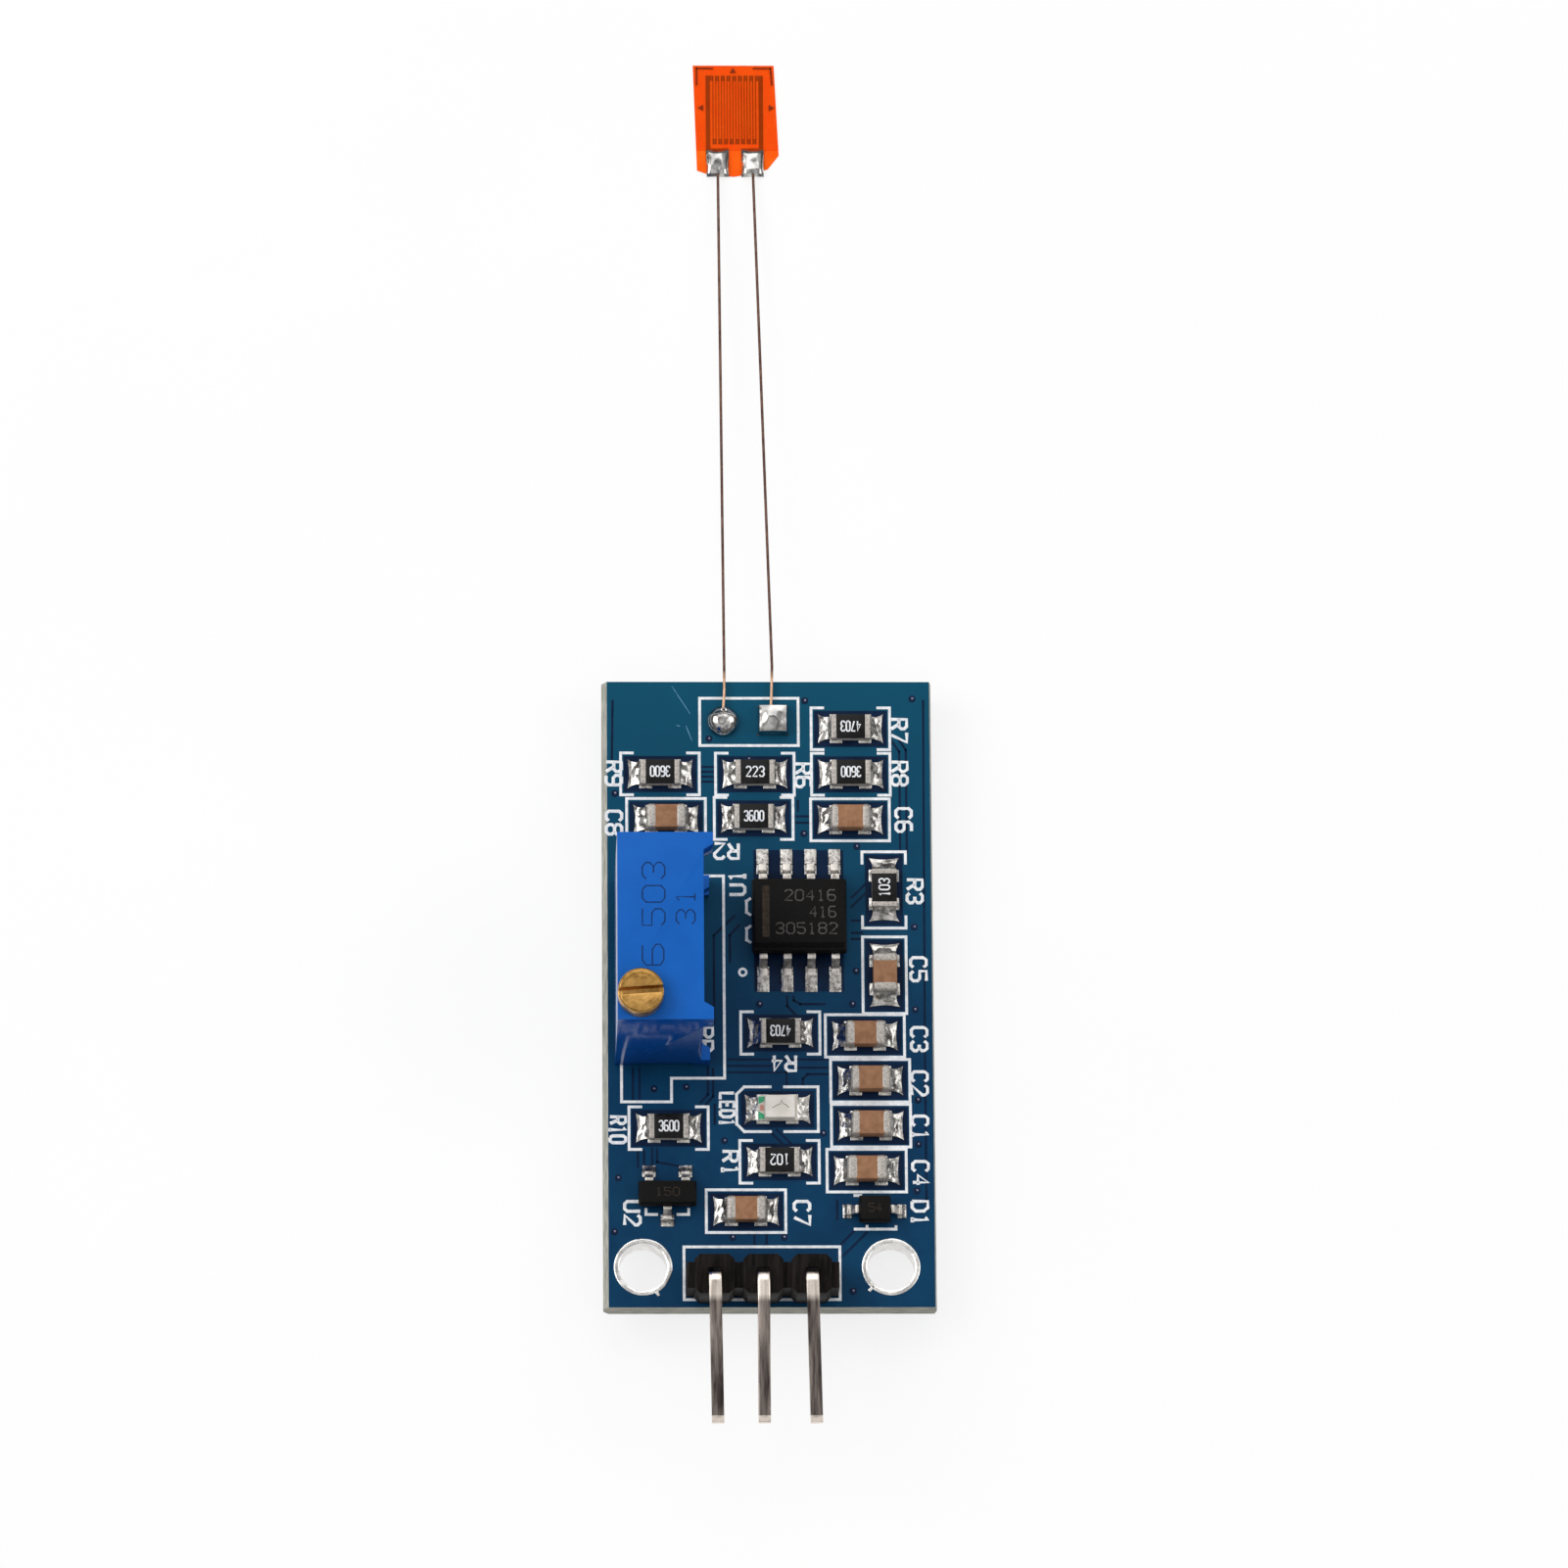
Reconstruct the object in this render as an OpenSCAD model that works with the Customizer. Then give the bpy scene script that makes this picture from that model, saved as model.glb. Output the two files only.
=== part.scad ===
// Strain gauge amplifier module: a small circuit board with a foil strain gauge on two bare leads.
// X runs across the board, Y along it towards the gauge, and Z up through the component side.
// The origin is midway between the two mounting holes, on the underside of the board.

/* [Board] */
// Width of the board
board_w = 17.5; // [17.3:0.1:19]
// Length of the board
board_l = 34.0; // [33.8:0.1:36]
// Thickness of the board
board_t = 1.6; // [1.2:0.1:2]
// Bevel left along the left and right edges by the scored panel line
score_bevel = 0.28; // [0.1:0.02:0.4]
// Distance between the two mounting holes
hole_spacing = 13.0; // [12.8:0.1:13.4]
// Distance from the mounting holes to the pin end of the board
hole_edge = 2.16; // [2:0.04:2.4]
// How far the holes sit left of the board's centre line
hole_shift = 0.16; // [0:0.02:0.3]
// Radius of a mounting hole inside its plating
hole_r = 1.28; // [1.1:0.02:1.4]
// Radius of the tinned ring round a mounting hole
ring_r = 1.53; // [1.5:0.01:1.6]
// Thickness of the plating and of the tinned pads
pad_t = 0.05; // [0.03:0.01:0.1]
// Width of the printed white lines
ink_w = 0.145; // [0.1:0.005:0.2]
// Thickness of the printed white lines
ink_t = 0.03; // [0.02:0.005:0.05]

/* [Chip resistors and capacitors] */
// Length of a chip
chip_l = 2.08; // [1.9:0.02:2.3]
// Width of a chip
chip_w = 1.3; // [1.15:0.05:1.45]
// Height of a chip resistor
resistor_h = 0.52; // [0.4:0.02:0.7]
// Height of a chip capacitor
capacitor_h = 0.86; // [0.6:0.02:1.2]
// Length of a resistor's end cap
resistor_cap_l = 0.35; // [0.25:0.05:0.5]
// Length of a capacitor's end cap
capacitor_cap_l = 0.52; // [0.3:0.02:0.6]
// How far an end cap stands proud of the chip's body
cap_proud = 0.02; // [0.01:0.01:0.04]
// Distance between the outer ends of a chip's two pads
pad_span = 3.46; // [3.2:0.02:3.6]
// Width of a chip's pad
pad_w = 1.6; // [1.5:0.05:1.8]
// How far a pad reaches under the chip
pad_under = 0.35; // [0.2:0.05:0.6]
// Share of a chip's height that the solder climbs
fillet_climb = 0.8; // [0.4:0.05:0.95]
// Length of the printed outline of a chip
outline_l = 4.17; // [4:0.01:4.3]
// Width of the printed outline of a chip
outline_w = 2.3; // [2.2:0.02:2.4]
// Length of each arm of a resistor's printed bracket
bracket_arm = 0.62; // [0.4:0.02:1]

/* [Light emitting diode] */
// Height of the lamp's base with its terminals
lamp_base_h = 0.3; // [0.2:0.05:0.5]
// Height of the clear lens block on the base
lamp_lens_h = 0.45; // [0.3:0.05:0.7]
// Length of the lens block
lamp_lens_l = 1.66; // [1.2:0.02:1.8]
// How far the lens block is shifted from the middle of the base
lamp_lens_shift = 0.12; // [0:0.02:0.2]

/* [Amplifier chip] */
// Length of the amplifier's body, across the board
amp_l = 5.0; // [4.8:0.05:5.2]
// Width of the amplifier's body, along the board
amp_w = 4.0; // [3.8:0.05:4.1]
// Height of the amplifier's body
amp_h = 1.45; // [1.3:0.05:1.6]
// Gap under the amplifier's body
amp_standoff = 0.15; // [0.1:0.01:0.25]
// Distance between neighbouring leads of the amplifier
amp_pitch = 1.27; // [1.2:0.01:1.3]
// Overall width over the lead tips of the amplifier
amp_span = 6.1; // [5.9:0.05:6.3]
// Width of an amplifier lead
amp_lead_w = 0.44; // [0.35:0.01:0.5]
// Thickness of the sheet that the leads are stamped from
lead_sheet_t = 0.2; // [0.15:0.01:0.25]
// Distance over the outer ends of the amplifier's pads
amp_pad_span = 7.8; // [7.4:0.05:8]
// Slope of the amplifier's chamfered long edge, across the top
amp_bevel = 0.45; // [0.2:0.05:0.6]

/* [Small regulator and diode] */
// Length of the regulator's body
reg_l = 3.05; // [2.8:0.05:3.1]
// Width of the regulator's body
reg_w = 1.35; // [1.2:0.05:1.4]
// Height of the regulator's body
reg_h = 1.0; // [0.8:0.05:1.1]
// Distance between the regulator's two upper leads
reg_pitch = 1.92; // [1.8:0.02:2]
// Width of the leads of the regulator and the diode
small_lead_w = 0.44; // [0.35:0.01:0.5]
// Overall width over the regulator's lead tips
reg_span = 2.6; // [2.3:0.05:2.8]
// Length of the diode's body
diode_l = 1.66; // [1.6:0.02:2]
// Width of the diode's body
diode_w = 1.46; // [1.2:0.02:1.5]
// Height of the diode's body
diode_h = 0.95; // [0.8:0.05:1.1]
// Distance over the diode's lead tips
diode_span = 2.9; // [2.6:0.05:3.2]
// Gap under the small bodies
small_standoff = 0.1; // [0.08:0.01:0.15]

/* [Trimmer] */
// Length of the trimmer's housing, along the board
trim_l = 10.05; // [9.6:0.05:10.2]
// Width of the trimmer's housing, across the board
trim_w = 5.0; // [4.8:0.05:5.1]
// Height of the trimmer's housing above the board
trim_h = 10.1; // [9.5:0.1:10.5]
// Depth of the recess in the trimmer's right side
trim_recess = 0.5; // [0.3:0.05:0.7]
// Length of the full-width flange at each end of the trimmer
trim_flange_l = 0.95; // [0.7:0.05:1.2]
// Height of the flanges at the top of the trimmer
trim_flange_h = 1.7; // [1.2:0.1:2.5]
// Height of the two stops at the foot of the trimmer's right side
trim_stop_h = 0.75; // [0.5:0.05:1.2]
// Height of the feet under the trimmer
trim_foot_h = 0.4; // [0.3:0.05:0.6]
// Length of each foot under the trimmer
trim_foot_l = 0.9; // [0.6:0.05:1.2]
// Diameter of the brass screw's head
screw_head_d = 2.4; // [2.1:0.05:2.5]
// Height of the screw's head above the housing
screw_head_h = 1.1; // [0.8:0.05:1.5]
// Diameter of the screw's shank
screw_shank_d = 1.7; // [1.4:0.05:1.9]
// Length of the shank inside the housing
screw_shank_l = 3.2; // [2:0.1:5]
// Width of the screwdriver slot
slot_w = 0.36; // [0.3:0.02:0.5]
// Depth of the screwdriver slot
slot_depth = 0.6; // [0.4:0.05:0.8]
// Running clearance round the screw
screw_clearance = 0.05; // [0.02:0.01:0.08]
// Diameter of the trimmer's pins
trim_pin_d = 0.5; // [0.4:0.05:0.6]
// Distance between the trimmer's pins
trim_pin_pitch = 2.54; // [2.5:0.01:2.6]

/* [Pin header] */
// Distance between the header's pins
header_pitch = 2.54; // [2.5:0.01:2.6]
// Thickness of a square header pin
pin_t = 0.64; // [0.5:0.02:0.66]
// Width of each moulded block of the header
block_w = 2.1; // [1.9:0.05:2.3]
// Depth of each moulded block of the header
block_d = 2.1; // [1.9:0.05:2.3]
// Height of the header's blocks
block_h = 2.5; // [2.2:0.05:2.8]
// Chamfer on the upright corners of each block
block_chamfer = 0.28; // [0.2:0.02:0.6]
// Depth of the neck that joins the blocks
neck_d = 1.4; // [1:0.05:1.6]
// Length of the broken stub at each end of the header
stub_l = 0.4; // [0.2:0.05:0.6]
// Distance from the mounting holes to the header pins
header_back = 0.9; // [0.8:0.02:1]
// Length that the pins reach past the board's edge
pin_reach = 6.85; // [5:0.05:8]
// Gap between the top of the blocks and the bent pins
pin_lift = 0.3; // [0.2:0.05:0.6]
// Inner radius of the bend in the pins
pin_bend_r = 0.3; // [0.25:0.05:0.6]
// Length of the slanted tip of a header pin
pin_tip_l = 0.4; // [0.2:0.05:0.6]

/* [Solder tails] */
// Length that the pins reach below the board
tail_l = 1.2; // [1:0.05:1.5]
// Height of a solder cone below the board
cone_h = 0.85; // [0.5:0.05:1]
// Radius of the pad round a header or terminal hole
tail_pad_r = 0.85; // [0.75:0.01:0.9]
// Radius of the drilled holes for the header pins and the leads
drill_r = 0.5; // [0.48:0.01:0.55]
// Radius of the drilled holes for the trimmer's pins
trim_drill_r = 0.4; // [0.38:0.01:0.45]
// Radius of the pad round a trimmer pin's hole
trim_pad_r = 0.75; // [0.6:0.01:0.85]
// Radius of the tip of the solder tails under the two terminals
terminal_tail_r = 0.25; // [0.15:0.01:0.35]

/* [Leads and gauge] */
// Diameter of a bare lead
wire_d = 0.15; // [0.12:0.01:0.2]
// Distance from the board's edge to the near end of the gauge
gauge_reach = 29.08; // [20:0.02:32]
// Length of the gauge film
gauge_l = 6.3; // [6.2:0.05:6.8]
// Width of the gauge film at its far end
gauge_w = 4.38; // [4.2:0.02:4.6]
// How much wider the gauge film is at its near end
gauge_flare = 0.24; // [0:0.02:0.4]
// Thickness of the gauge's backing film
backing_t = 0.06; // [0.04:0.01:0.1]
// Thickness of the etched foil
foil_t = 0.02; // [0.01:0.005:0.03]
// Thickness of the gauge's cover film
cover_t = 0.04; // [0.03:0.01:0.06]
// Number of strands in the foil grid, with the wide one on each side
grid_count = 18; // [12:2:22]
// Width of the wide strand on each side of the grid
side_strand_w = 0.24; // [0.15:0.01:0.3]
// Width of the foil grid
grid_w = 3.1; // [2.8:0.05:3.2]
// Length of the foil grid
grid_l = 3.9; // [3:0.05:4]
// Width of each soldering tab
tab_w = 1.2; // [1:0.05:1.3]
// Length of each soldering tab
tab_l = 1.5; // [1.2:0.05:1.7]
// Distance between the middles of the two soldering tabs
tab_pitch = 1.88; // [1.6:0.02:2]
// How far the solder hangs over the near edge of a tab
tab_over = 0.15; // [0:0.01:0.2]
// Height of the solder on a tab
tab_solder_h = 0.4; // [0.25:0.02:0.5]

/* [Layout along the board] */
// Distance from the mounting holes to the diode
diode_y = 2.98; // [2.8:0.02:3.1]
// Gap between the diode and the outline above it
diode_gap = 0.32; // [0.2:0.01:0.5]
// Gap between the outlines of close neighbours
outline_gap = 0.13; // [0.08:0.01:0.2]
// Gap between the two upright outlines on the right
r3_gap = 0.48; // [0.2:0.02:0.6]
// Gap below the lowest outline of the upper right group
c6_gap = 0.6; // [0.4:0.02:0.8]
// Gap between the outlines of the upper group
upper_gap = 0.2; // [0.1:0.01:0.25]
// Distance from the mounting holes to the lowest capacitor of the middle column
c7_y = 3.0; // [2.9:0.02:3.1]
// Gap below the lowest resistor of the middle column
r1_gap = 0.36; // [0.2:0.02:0.5]
// Gap below the outline of the lamp
lamp_gap = 0.54; // [0.3:0.02:0.7]
// Gap between the lamp and the resistor above it
r4_gap = 1.83; // [1.2:0.01:2]
// Gap below the amplifier's pads
amp_gap = 1.07; // [0.5:0.01:1.2]
// Gap above the amplifier's pads
r2_gap = 0.53; // [0.3:0.01:0.8]
// Gap below the terminals
terminal_gap = 0.89; // [0.7:0.01:1]
// Distance from the mounting holes to the regulator
regulator_y = 3.82; // [3.6:0.02:4]
// Gap above the regulator's leads
r10_gap = 1.21; // [0.8:0.01:1.5]
// Gap below the trimmer
trim_gap = 2.26; // [1.8:0.02:2.5]
// Gap above the trimmer
c8_gap = 2.18; // [2:0.01:2.6]

/* [Hidden] */
$fn = 48;

// Edges of the board, seen from the midpoint of the mounting holes
board_left = hole_shift - board_w / 2;
board_right = hole_shift + board_w / 2;
board_low = -hole_edge;
board_high = board_l - hole_edge;

// Places of the parts' middles: each column is stacked upwards from its lowest part
function above(low_y, low_half, high_half, gap) = low_y + low_half + high_half + gap;
half_w = outline_w / 2;
half_l = outline_l / 2;

diode_at = [5.66, diode_y];
c4_at = [5.27, above(diode_at.y, diode_w / 2, half_w, diode_gap)];
c1_at = [5.52, above(c4_at.y, half_w, half_w, outline_gap)];
c2_at = [5.5, above(c1_at.y, half_w, half_w, outline_gap)];
c3_at = [5.24, above(c2_at.y, half_w, half_w, outline_gap)];
c5_at = [6.31, above(c3_at.y, half_w, half_l, outline_gap / 2)];
r3_at = [6.32, above(c5_at.y, half_l, half_l, r3_gap)];
c6_at = [4.56, above(r3_at.y, half_l, half_w, c6_gap)];
r8_at = [4.62, above(c6_at.y, half_w, half_w, upper_gap)];
r7_at = [4.62, above(r8_at.y, half_w, half_w, upper_gap)];

c7_at = [-1.09, c7_y];
r1_at = [0.69, above(c7_at.y, half_w, half_w, r1_gap)];
lamp_at = [0.6, above(r1_at.y, half_w, half_w, lamp_gap)];
r4_at = [0.78, above(lamp_at.y, half_w, half_w, r4_gap)];
amp_at = [1.8, above(r4_at.y, half_w, amp_pad_span / 2, amp_gap)];
r2_at = [-0.55, above(amp_at.y, amp_pad_span / 2, half_w, r2_gap)];
r6_at = [-0.47, above(r2_at.y, half_w, half_w, outline_gap)];
round_terminal_at = [-2.15, above(r6_at.y, half_w, tail_pad_r, terminal_gap)];
square_terminal_at = [0.5, round_terminal_at.y + 0.04];

reg_at = [-5.22, regulator_y];
r10_at = [-5.13, above(reg_at.y, reg_span / 2, half_w, r10_gap)];
trim_at = [-5.45, above(r10_at.y, half_w, trim_l / 2, trim_gap)];
c8_at = [-5.19, above(trim_at.y, trim_l / 2, half_w, c8_gap)];
r9_at = [-5.5, above(c8_at.y, half_w, half_w, upper_gap)];
header_x = -0.27;
lying_resistors = [r1_at, r2_at, r4_at, r6_at, r7_at, r8_at, r9_at, r10_at];
lying_capacitors = [c1_at, c2_at, c3_at, c4_at, c6_at, c7_at, c8_at];
standing_resistors = [r3_at];
standing_capacitors = [c5_at];

// Heights of the trimmer and the header above the board
trim_base = board_t + ink_t;
trim_top = board_t + trim_h;
header_base = board_t + ink_t;
header_top = header_base + block_h;
pin_run_z = header_top + pin_lift + pin_t / 2;
screw_at = [trim_at.x - trim_w / 2 + screw_head_d / 2, trim_at.y - trim_l / 2 + screw_head_d / 2 + 0.1];
trim_pin_places = [for (i = [-1:1]) [trim_at.x, trim_at.y + i * trim_pin_pitch]];
header_pin_places = [for (i = [-1:1]) [header_x + i * header_pitch, -header_back]];
pin_splay = [0.8, 0, 1.2];

// The surface that the solder tails stand on, where the gauge also lies flat
rest_z = -tail_l;
foil_z = rest_z + backing_t;
cover_z = foil_z + foil_t;
gauge_near = board_high + gauge_reach;
gauge_far = gauge_near + gauge_l;
gauge_x = -1.31;
tab_y = gauge_near + 0.1 + tab_l / 2;
cover_edge = tab_y + tab_l / 2 - 0.12;
grid_low = cover_edge + 0.35;
left_tab_x = gauge_x + 0.07 - tab_pitch / 2;
right_tab_x = gauge_x + 0.07 + tab_pitch / 2;
wire_z = cover_z + wire_d / 2 + 0.03;
wire_over_z = board_t + 0.27;
blob_h = 0.78;
wire_edge_y = max(board_high + 0.8, round_terminal_at.y + 2.2);
wire_bend_y = max(board_high - 0.5, round_terminal_at.y + 1.1);
wire_end_y = round_terminal_at.y + 0.3;
left_route = [[left_tab_x, tab_y, wire_z], [-2.07, wire_edge_y, wire_over_z - 0.06],
    [-2.07, wire_bend_y, wire_over_z], [round_terminal_at.x, wire_end_y, wire_over_z]];
right_route = [[right_tab_x, tab_y, wire_z], [0.47, wire_edge_y, wire_over_z - 0.06],
    [0.44, wire_bend_y, wire_over_z], [square_terminal_at.x - 0.12, wire_end_y, wire_over_z]];

// Colours
mask_blue = [0.09, 0.28, 0.44];
trim_blue = [0.12, 0.38, 0.75];
tin = [0.78, 0.77, 0.75];
ink_white = [0.95, 0.95, 0.93];
moulding_black = [0.08, 0.08, 0.09];
brass = [0.8, 0.6, 0.26];
film_orange = [0.93, 0.36, 0.06];

// Helpers that place and shape what repeats

module on_board(place, turn = 0) {
    translate([place.x, place.y, board_t]) rotate([0, 0, turn]) children();
}

module at_each(places, turn = 0) {
    for (p = places) on_board(p, turn) children();
}

module block(size, z) {
    translate([-size.x / 2, -size.y / 2, z]) cube(size);
}

// One pad with the concave solder fillet that climbs the end of a chip or a foot
module solder_fillet(inner, foot, outer, width, climb) {
    steps = 6;
    slope = [for (i = [0:steps]) [outer - (outer - foot) * i / steps, pad_t + climb * pow(i / steps, 2)]];
    profile = concat([[inner, pad_t], [inner, 0], [outer, 0]], slope, [[foot, pad_t]]);
    rotate([90, 0, 0]) linear_extrude(width, center = true) polygon(profile);
}

module chip_solder(height) {
    for (side = [0, 1]) mirror([side, 0, 0])
        solder_fillet(chip_l / 2 - pad_under, chip_l / 2, pad_span / 2, pad_w, height * fillet_climb);
}

module chip(height, cap_l, body_colour) {
    color(body_colour) block([chip_l - 2 * cap_l, chip_w, height - cap_proud], pad_t + cap_proud);
    color(tin) for (side = [-1, 1]) translate([side * (chip_l - cap_l) / 2, 0, 0])
        block([cap_l, chip_w + 2 * cap_proud, height + cap_proud], pad_t);
}

module resistor() {
    chip(resistor_h, resistor_cap_l, moulding_black);
}

module capacitor() {
    chip(capacitor_h, capacitor_cap_l, [0.62, 0.45, 0.34]);
}

// A formed lead: shoulder out of the body, slope down and a flat foot on the pad
module formed_lead(shoulder, tip, body_z, width) {
    foot_l = 0.45 * (tip - shoulder);
    knee = shoulder + 0.3 * (tip - shoulder);
    top = body_z + lead_sheet_t / 2;
    low = body_z - lead_sheet_t / 2;
    profile = [[shoulder, low], [shoulder, top], [knee, top], [tip - foot_l + 0.1, pad_t + lead_sheet_t],
        [tip, pad_t + lead_sheet_t], [tip, pad_t], [tip - foot_l, pad_t], [knee - 0.1, low]];
    rotate([90, 0, 0]) linear_extrude(width, center = true) polygon(profile);
}

// Pad and solder in front of a formed foot
module foot_solder(heel, tip, outer, width) {
    solder_fillet(heel, tip, outer, width, lead_sheet_t);
}

// A moulded body whose four sides slope out to the parting line
module moulded_body(size, z, draft) {
    half_h = size.z / 2;
    translate([0, 0, z]) intersection() {
        rotate([90, 0, 0]) linear_extrude(size.y, center = true) polygon([
            [-size.x / 2 + draft, 0], [size.x / 2 - draft, 0], [size.x / 2, half_h],
            [size.x / 2 - draft, size.z], [-size.x / 2 + draft, size.z], [-size.x / 2, half_h]]);
        rotate([90, 0, 90]) linear_extrude(size.x, center = true) polygon([
            [-size.y / 2 + draft, 0], [size.y / 2 - draft, 0], [size.y / 2, half_h],
            [size.y / 2 - draft, size.z], [-size.y / 2 + draft, size.z], [-size.y / 2, half_h]]);
    }
}

// Printed line from one point to the next
module ink_line(from, to) {
    run = to - from;
    translate(from) rotate(atan2(run.y, run.x)) translate([-ink_w / 2, -ink_w / 2])
        square([norm(run) + ink_w, ink_w]);
}

module ink_path(points) {
    for (i = [0:len(points) - 2]) ink_line(points[i], points[i + 1]);
}

module ink_box(low, high) {
    ink_path([low, [high.x, low.y], high, [low.x, high.y], low]);
}

module chip_box() {
    ink_box([-outline_l / 2, -outline_w / 2], [outline_l / 2, outline_w / 2]);
}

module chip_brackets() {
    for (side = [-1, 1]) ink_path([
        [side * (outline_l / 2 - bracket_arm), outline_w / 2], [side * outline_l / 2, outline_w / 2],
        [side * outline_l / 2, -outline_w / 2], [side * (outline_l / 2 - bracket_arm), -outline_w / 2]]);
}

// Solder round a pin in a drilled hole: barrel, pad and the cone below the board
module tail_solder(place, drill, pad_radius, pin_radius, height = cone_h) {
    steps = 5;
    cone = [for (i = [0:steps]) [pin_radius + 0.06 + (pad_radius - pin_radius - 0.06) * pow(1 - i / steps, 2),
        -pad_t - height * i / steps]];
    translate([place.x, place.y, 0]) rotate_extrude()
        polygon(concat([[0, board_t], [drill, board_t], [drill, 0], [pad_radius, 0]], cone,
            [[0, -pad_t - height]]));
}

// A thin bare wire swept along a route that runs mostly along the board
module bare_wire(route) {
    sides = 10;
    count = len(route);
    rings = [for (p = route) for (s = [0:sides - 1])
        [p.x + wire_d / 2 * cos(360 * s / sides), p.y, p.z + wire_d / 2 * sin(360 * s / sides)]];
    walls = [for (i = [0:count - 2]) for (s = [0:sides - 1])
        [(i + 1) * sides + s, (i + 1) * sides + (s + 1) % sides,
            i * sides + (s + 1) % sides, i * sides + s]];
    first = [for (s = [0:sides - 1]) s];
    last = [for (s = [sides - 1:-1:0]) (count - 1) * sides + s];
    polyhedron(rings, concat([first], walls, [last]), convexity = 4);
}

// Board

module circuit_board() {
    color(mask_blue) difference() {
        translate([0, board_high, 0]) rotate([90, 0, 0]) linear_extrude(board_l) polygon([
            [board_left + score_bevel, 0], [board_right - score_bevel / 3, 0],
            [board_right, board_t * 0.35], [board_right, board_t * 0.65],
            [board_right - score_bevel / 3, board_t], [board_left + score_bevel, board_t],
            [board_left, board_t * 0.65], [board_left, board_t * 0.35]]);
        for (side = [-1, 1]) translate([side * hole_spacing / 2, 0, -1])
            cylinder(h = board_t + 2, r = hole_r + pad_t);
        for (p = header_pin_places) translate([p.x, p.y, -1]) cylinder(h = board_t + 2, r = drill_r);
        for (p = trim_pin_places) translate([p.x, p.y, -1]) cylinder(h = board_t + 2, r = trim_drill_r);
        for (p = [round_terminal_at, square_terminal_at]) translate([p.x, p.y, -1])
            cylinder(h = board_t + 2, r = drill_r);
    }
}

module hole_plating() {
    color(tin) for (side = [-1, 1]) translate([side * hole_spacing / 2, 0, 0]) difference() {
        union() {
            cylinder(h = board_t, r = hole_r + pad_t);
            translate([0, 0, board_t]) cylinder(h = pad_t, r = ring_r);
            translate([0, 0, -pad_t]) cylinder(h = pad_t, r = ring_r);
        }
        translate([0, 0, -1]) cylinder(h = board_t + 2, r = hole_r);
    }
}

module printed_outlines() {
    terminal_low = [round_terminal_at.x - 1.23, round_terminal_at.y - 1.32];
    terminal_high = [square_terminal_at.x + 1.35, round_terminal_at.y + 1.28];
    trim_ink_low = [trim_at.x - trim_w / 2 + 0.35, trim_at.y - trim_l / 2 - 0.71];
    trim_ink_high = [trim_at.x + trim_w / 2 + 0.78, trim_at.y + trim_l / 2 + 0.24];
    header_half = header_pitch + block_w / 2 + 0.5;
    header_low = [header_x - header_half, -header_back - block_d / 2 + 0.2];
    header_high = [header_x + header_half, -header_back + block_d / 2 + 0.93];
    lamp_x = outline_l / 2 + 0.06;
    lamp_y = outline_w / 2 + 0.06;
    color(ink_white) translate([0, 0, board_t]) linear_extrude(ink_t) {
        for (p = concat(lying_resistors)) translate(p) chip_brackets();
        for (p = standing_resistors) translate(p) rotate(90) chip_brackets();
        for (p = lying_capacitors) translate(p) chip_box();
        for (p = standing_capacitors) translate(p) rotate(90) chip_box();
        ink_box(terminal_low, terminal_high);
        ink_path([trim_ink_low, [trim_ink_low.x, trim_ink_high.y], trim_ink_high,
            [trim_ink_high.x, trim_ink_low.y], [trim_at.x + 0.48, trim_ink_low.y],
            [trim_at.x + 0.48, trim_ink_low.y - 1.28], [trim_ink_low.x, trim_ink_low.y - 1.28], trim_ink_low]);
        ink_box(header_low, header_high);
        translate(lamp_at) {
            ink_path([[-0.38, lamp_y], [0.4 - lamp_x, lamp_y], [-lamp_x, lamp_y - 0.4],
                [-lamp_x, 0.4 - lamp_y], [0.4 - lamp_x, -lamp_y], [-0.38, -lamp_y]]);
            ink_path([[0.38, lamp_y], [lamp_x, lamp_y], [lamp_x, -lamp_y], [0.38, -lamp_y]]);
        }
        for (flip = [1, -1]) translate([amp_at.x - amp_l / 2 - 0.2, amp_at.y]) ink_path([
            [0.12, 1.18 * flip], [-0.06, 1.06 * flip], [-0.06, 0.45 * flip], [0.12, 0.32 * flip]]);
        translate([amp_at.x - 2.98, amp_at.y - 2.82]) difference() {
            circle(r = 0.25);
            circle(r = 0.12);
        }
        for (side = [-1, 1]) translate([reg_at.x, reg_at.y - reg_w / 2 - 0.32]) ink_path([
            [side * 1.12, 0.28], [side * 1.12, 0], [side * 0.56, 0]]);
        translate([diode_at.x, diode_at.y]) {
            ink_line([-1.02, -0.95], [1.12, -0.95]);
            ink_line([1.12, -0.95], [1.12, -0.82]);
            ink_line([-0.4, -0.95], [-0.4, -0.8]);
            ink_line([-1.02, 0.86], [-0.72, 0.86]);
        }
    }
}

// Chip resistors and capacitors, named by their places in the circuit

module resistor_r1() { on_board(r1_at) resistor(); }
module resistor_r2() { on_board(r2_at) resistor(); }
module resistor_r3() { on_board(r3_at, 90) resistor(); }
module resistor_r4() { on_board(r4_at) resistor(); }
module resistor_r6() { on_board(r6_at) resistor(); }
module resistor_r7() { on_board(r7_at) resistor(); }
module resistor_r8() { on_board(r8_at) resistor(); }
module resistor_r9() { on_board(r9_at) resistor(); }
module resistor_r10() { on_board(r10_at) resistor(); }
module capacitor_c1() { on_board(c1_at) capacitor(); }
module capacitor_c2() { on_board(c2_at) capacitor(); }
module capacitor_c3() { on_board(c3_at) capacitor(); }
module capacitor_c4() { on_board(c4_at) capacitor(); }
module capacitor_c5() { on_board(c5_at, 90) capacitor(); }
module capacitor_c6() { on_board(c6_at) capacitor(); }
module capacitor_c7() { on_board(c7_at) capacitor(); }
module capacitor_c8() { on_board(c8_at) capacitor(); }

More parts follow.
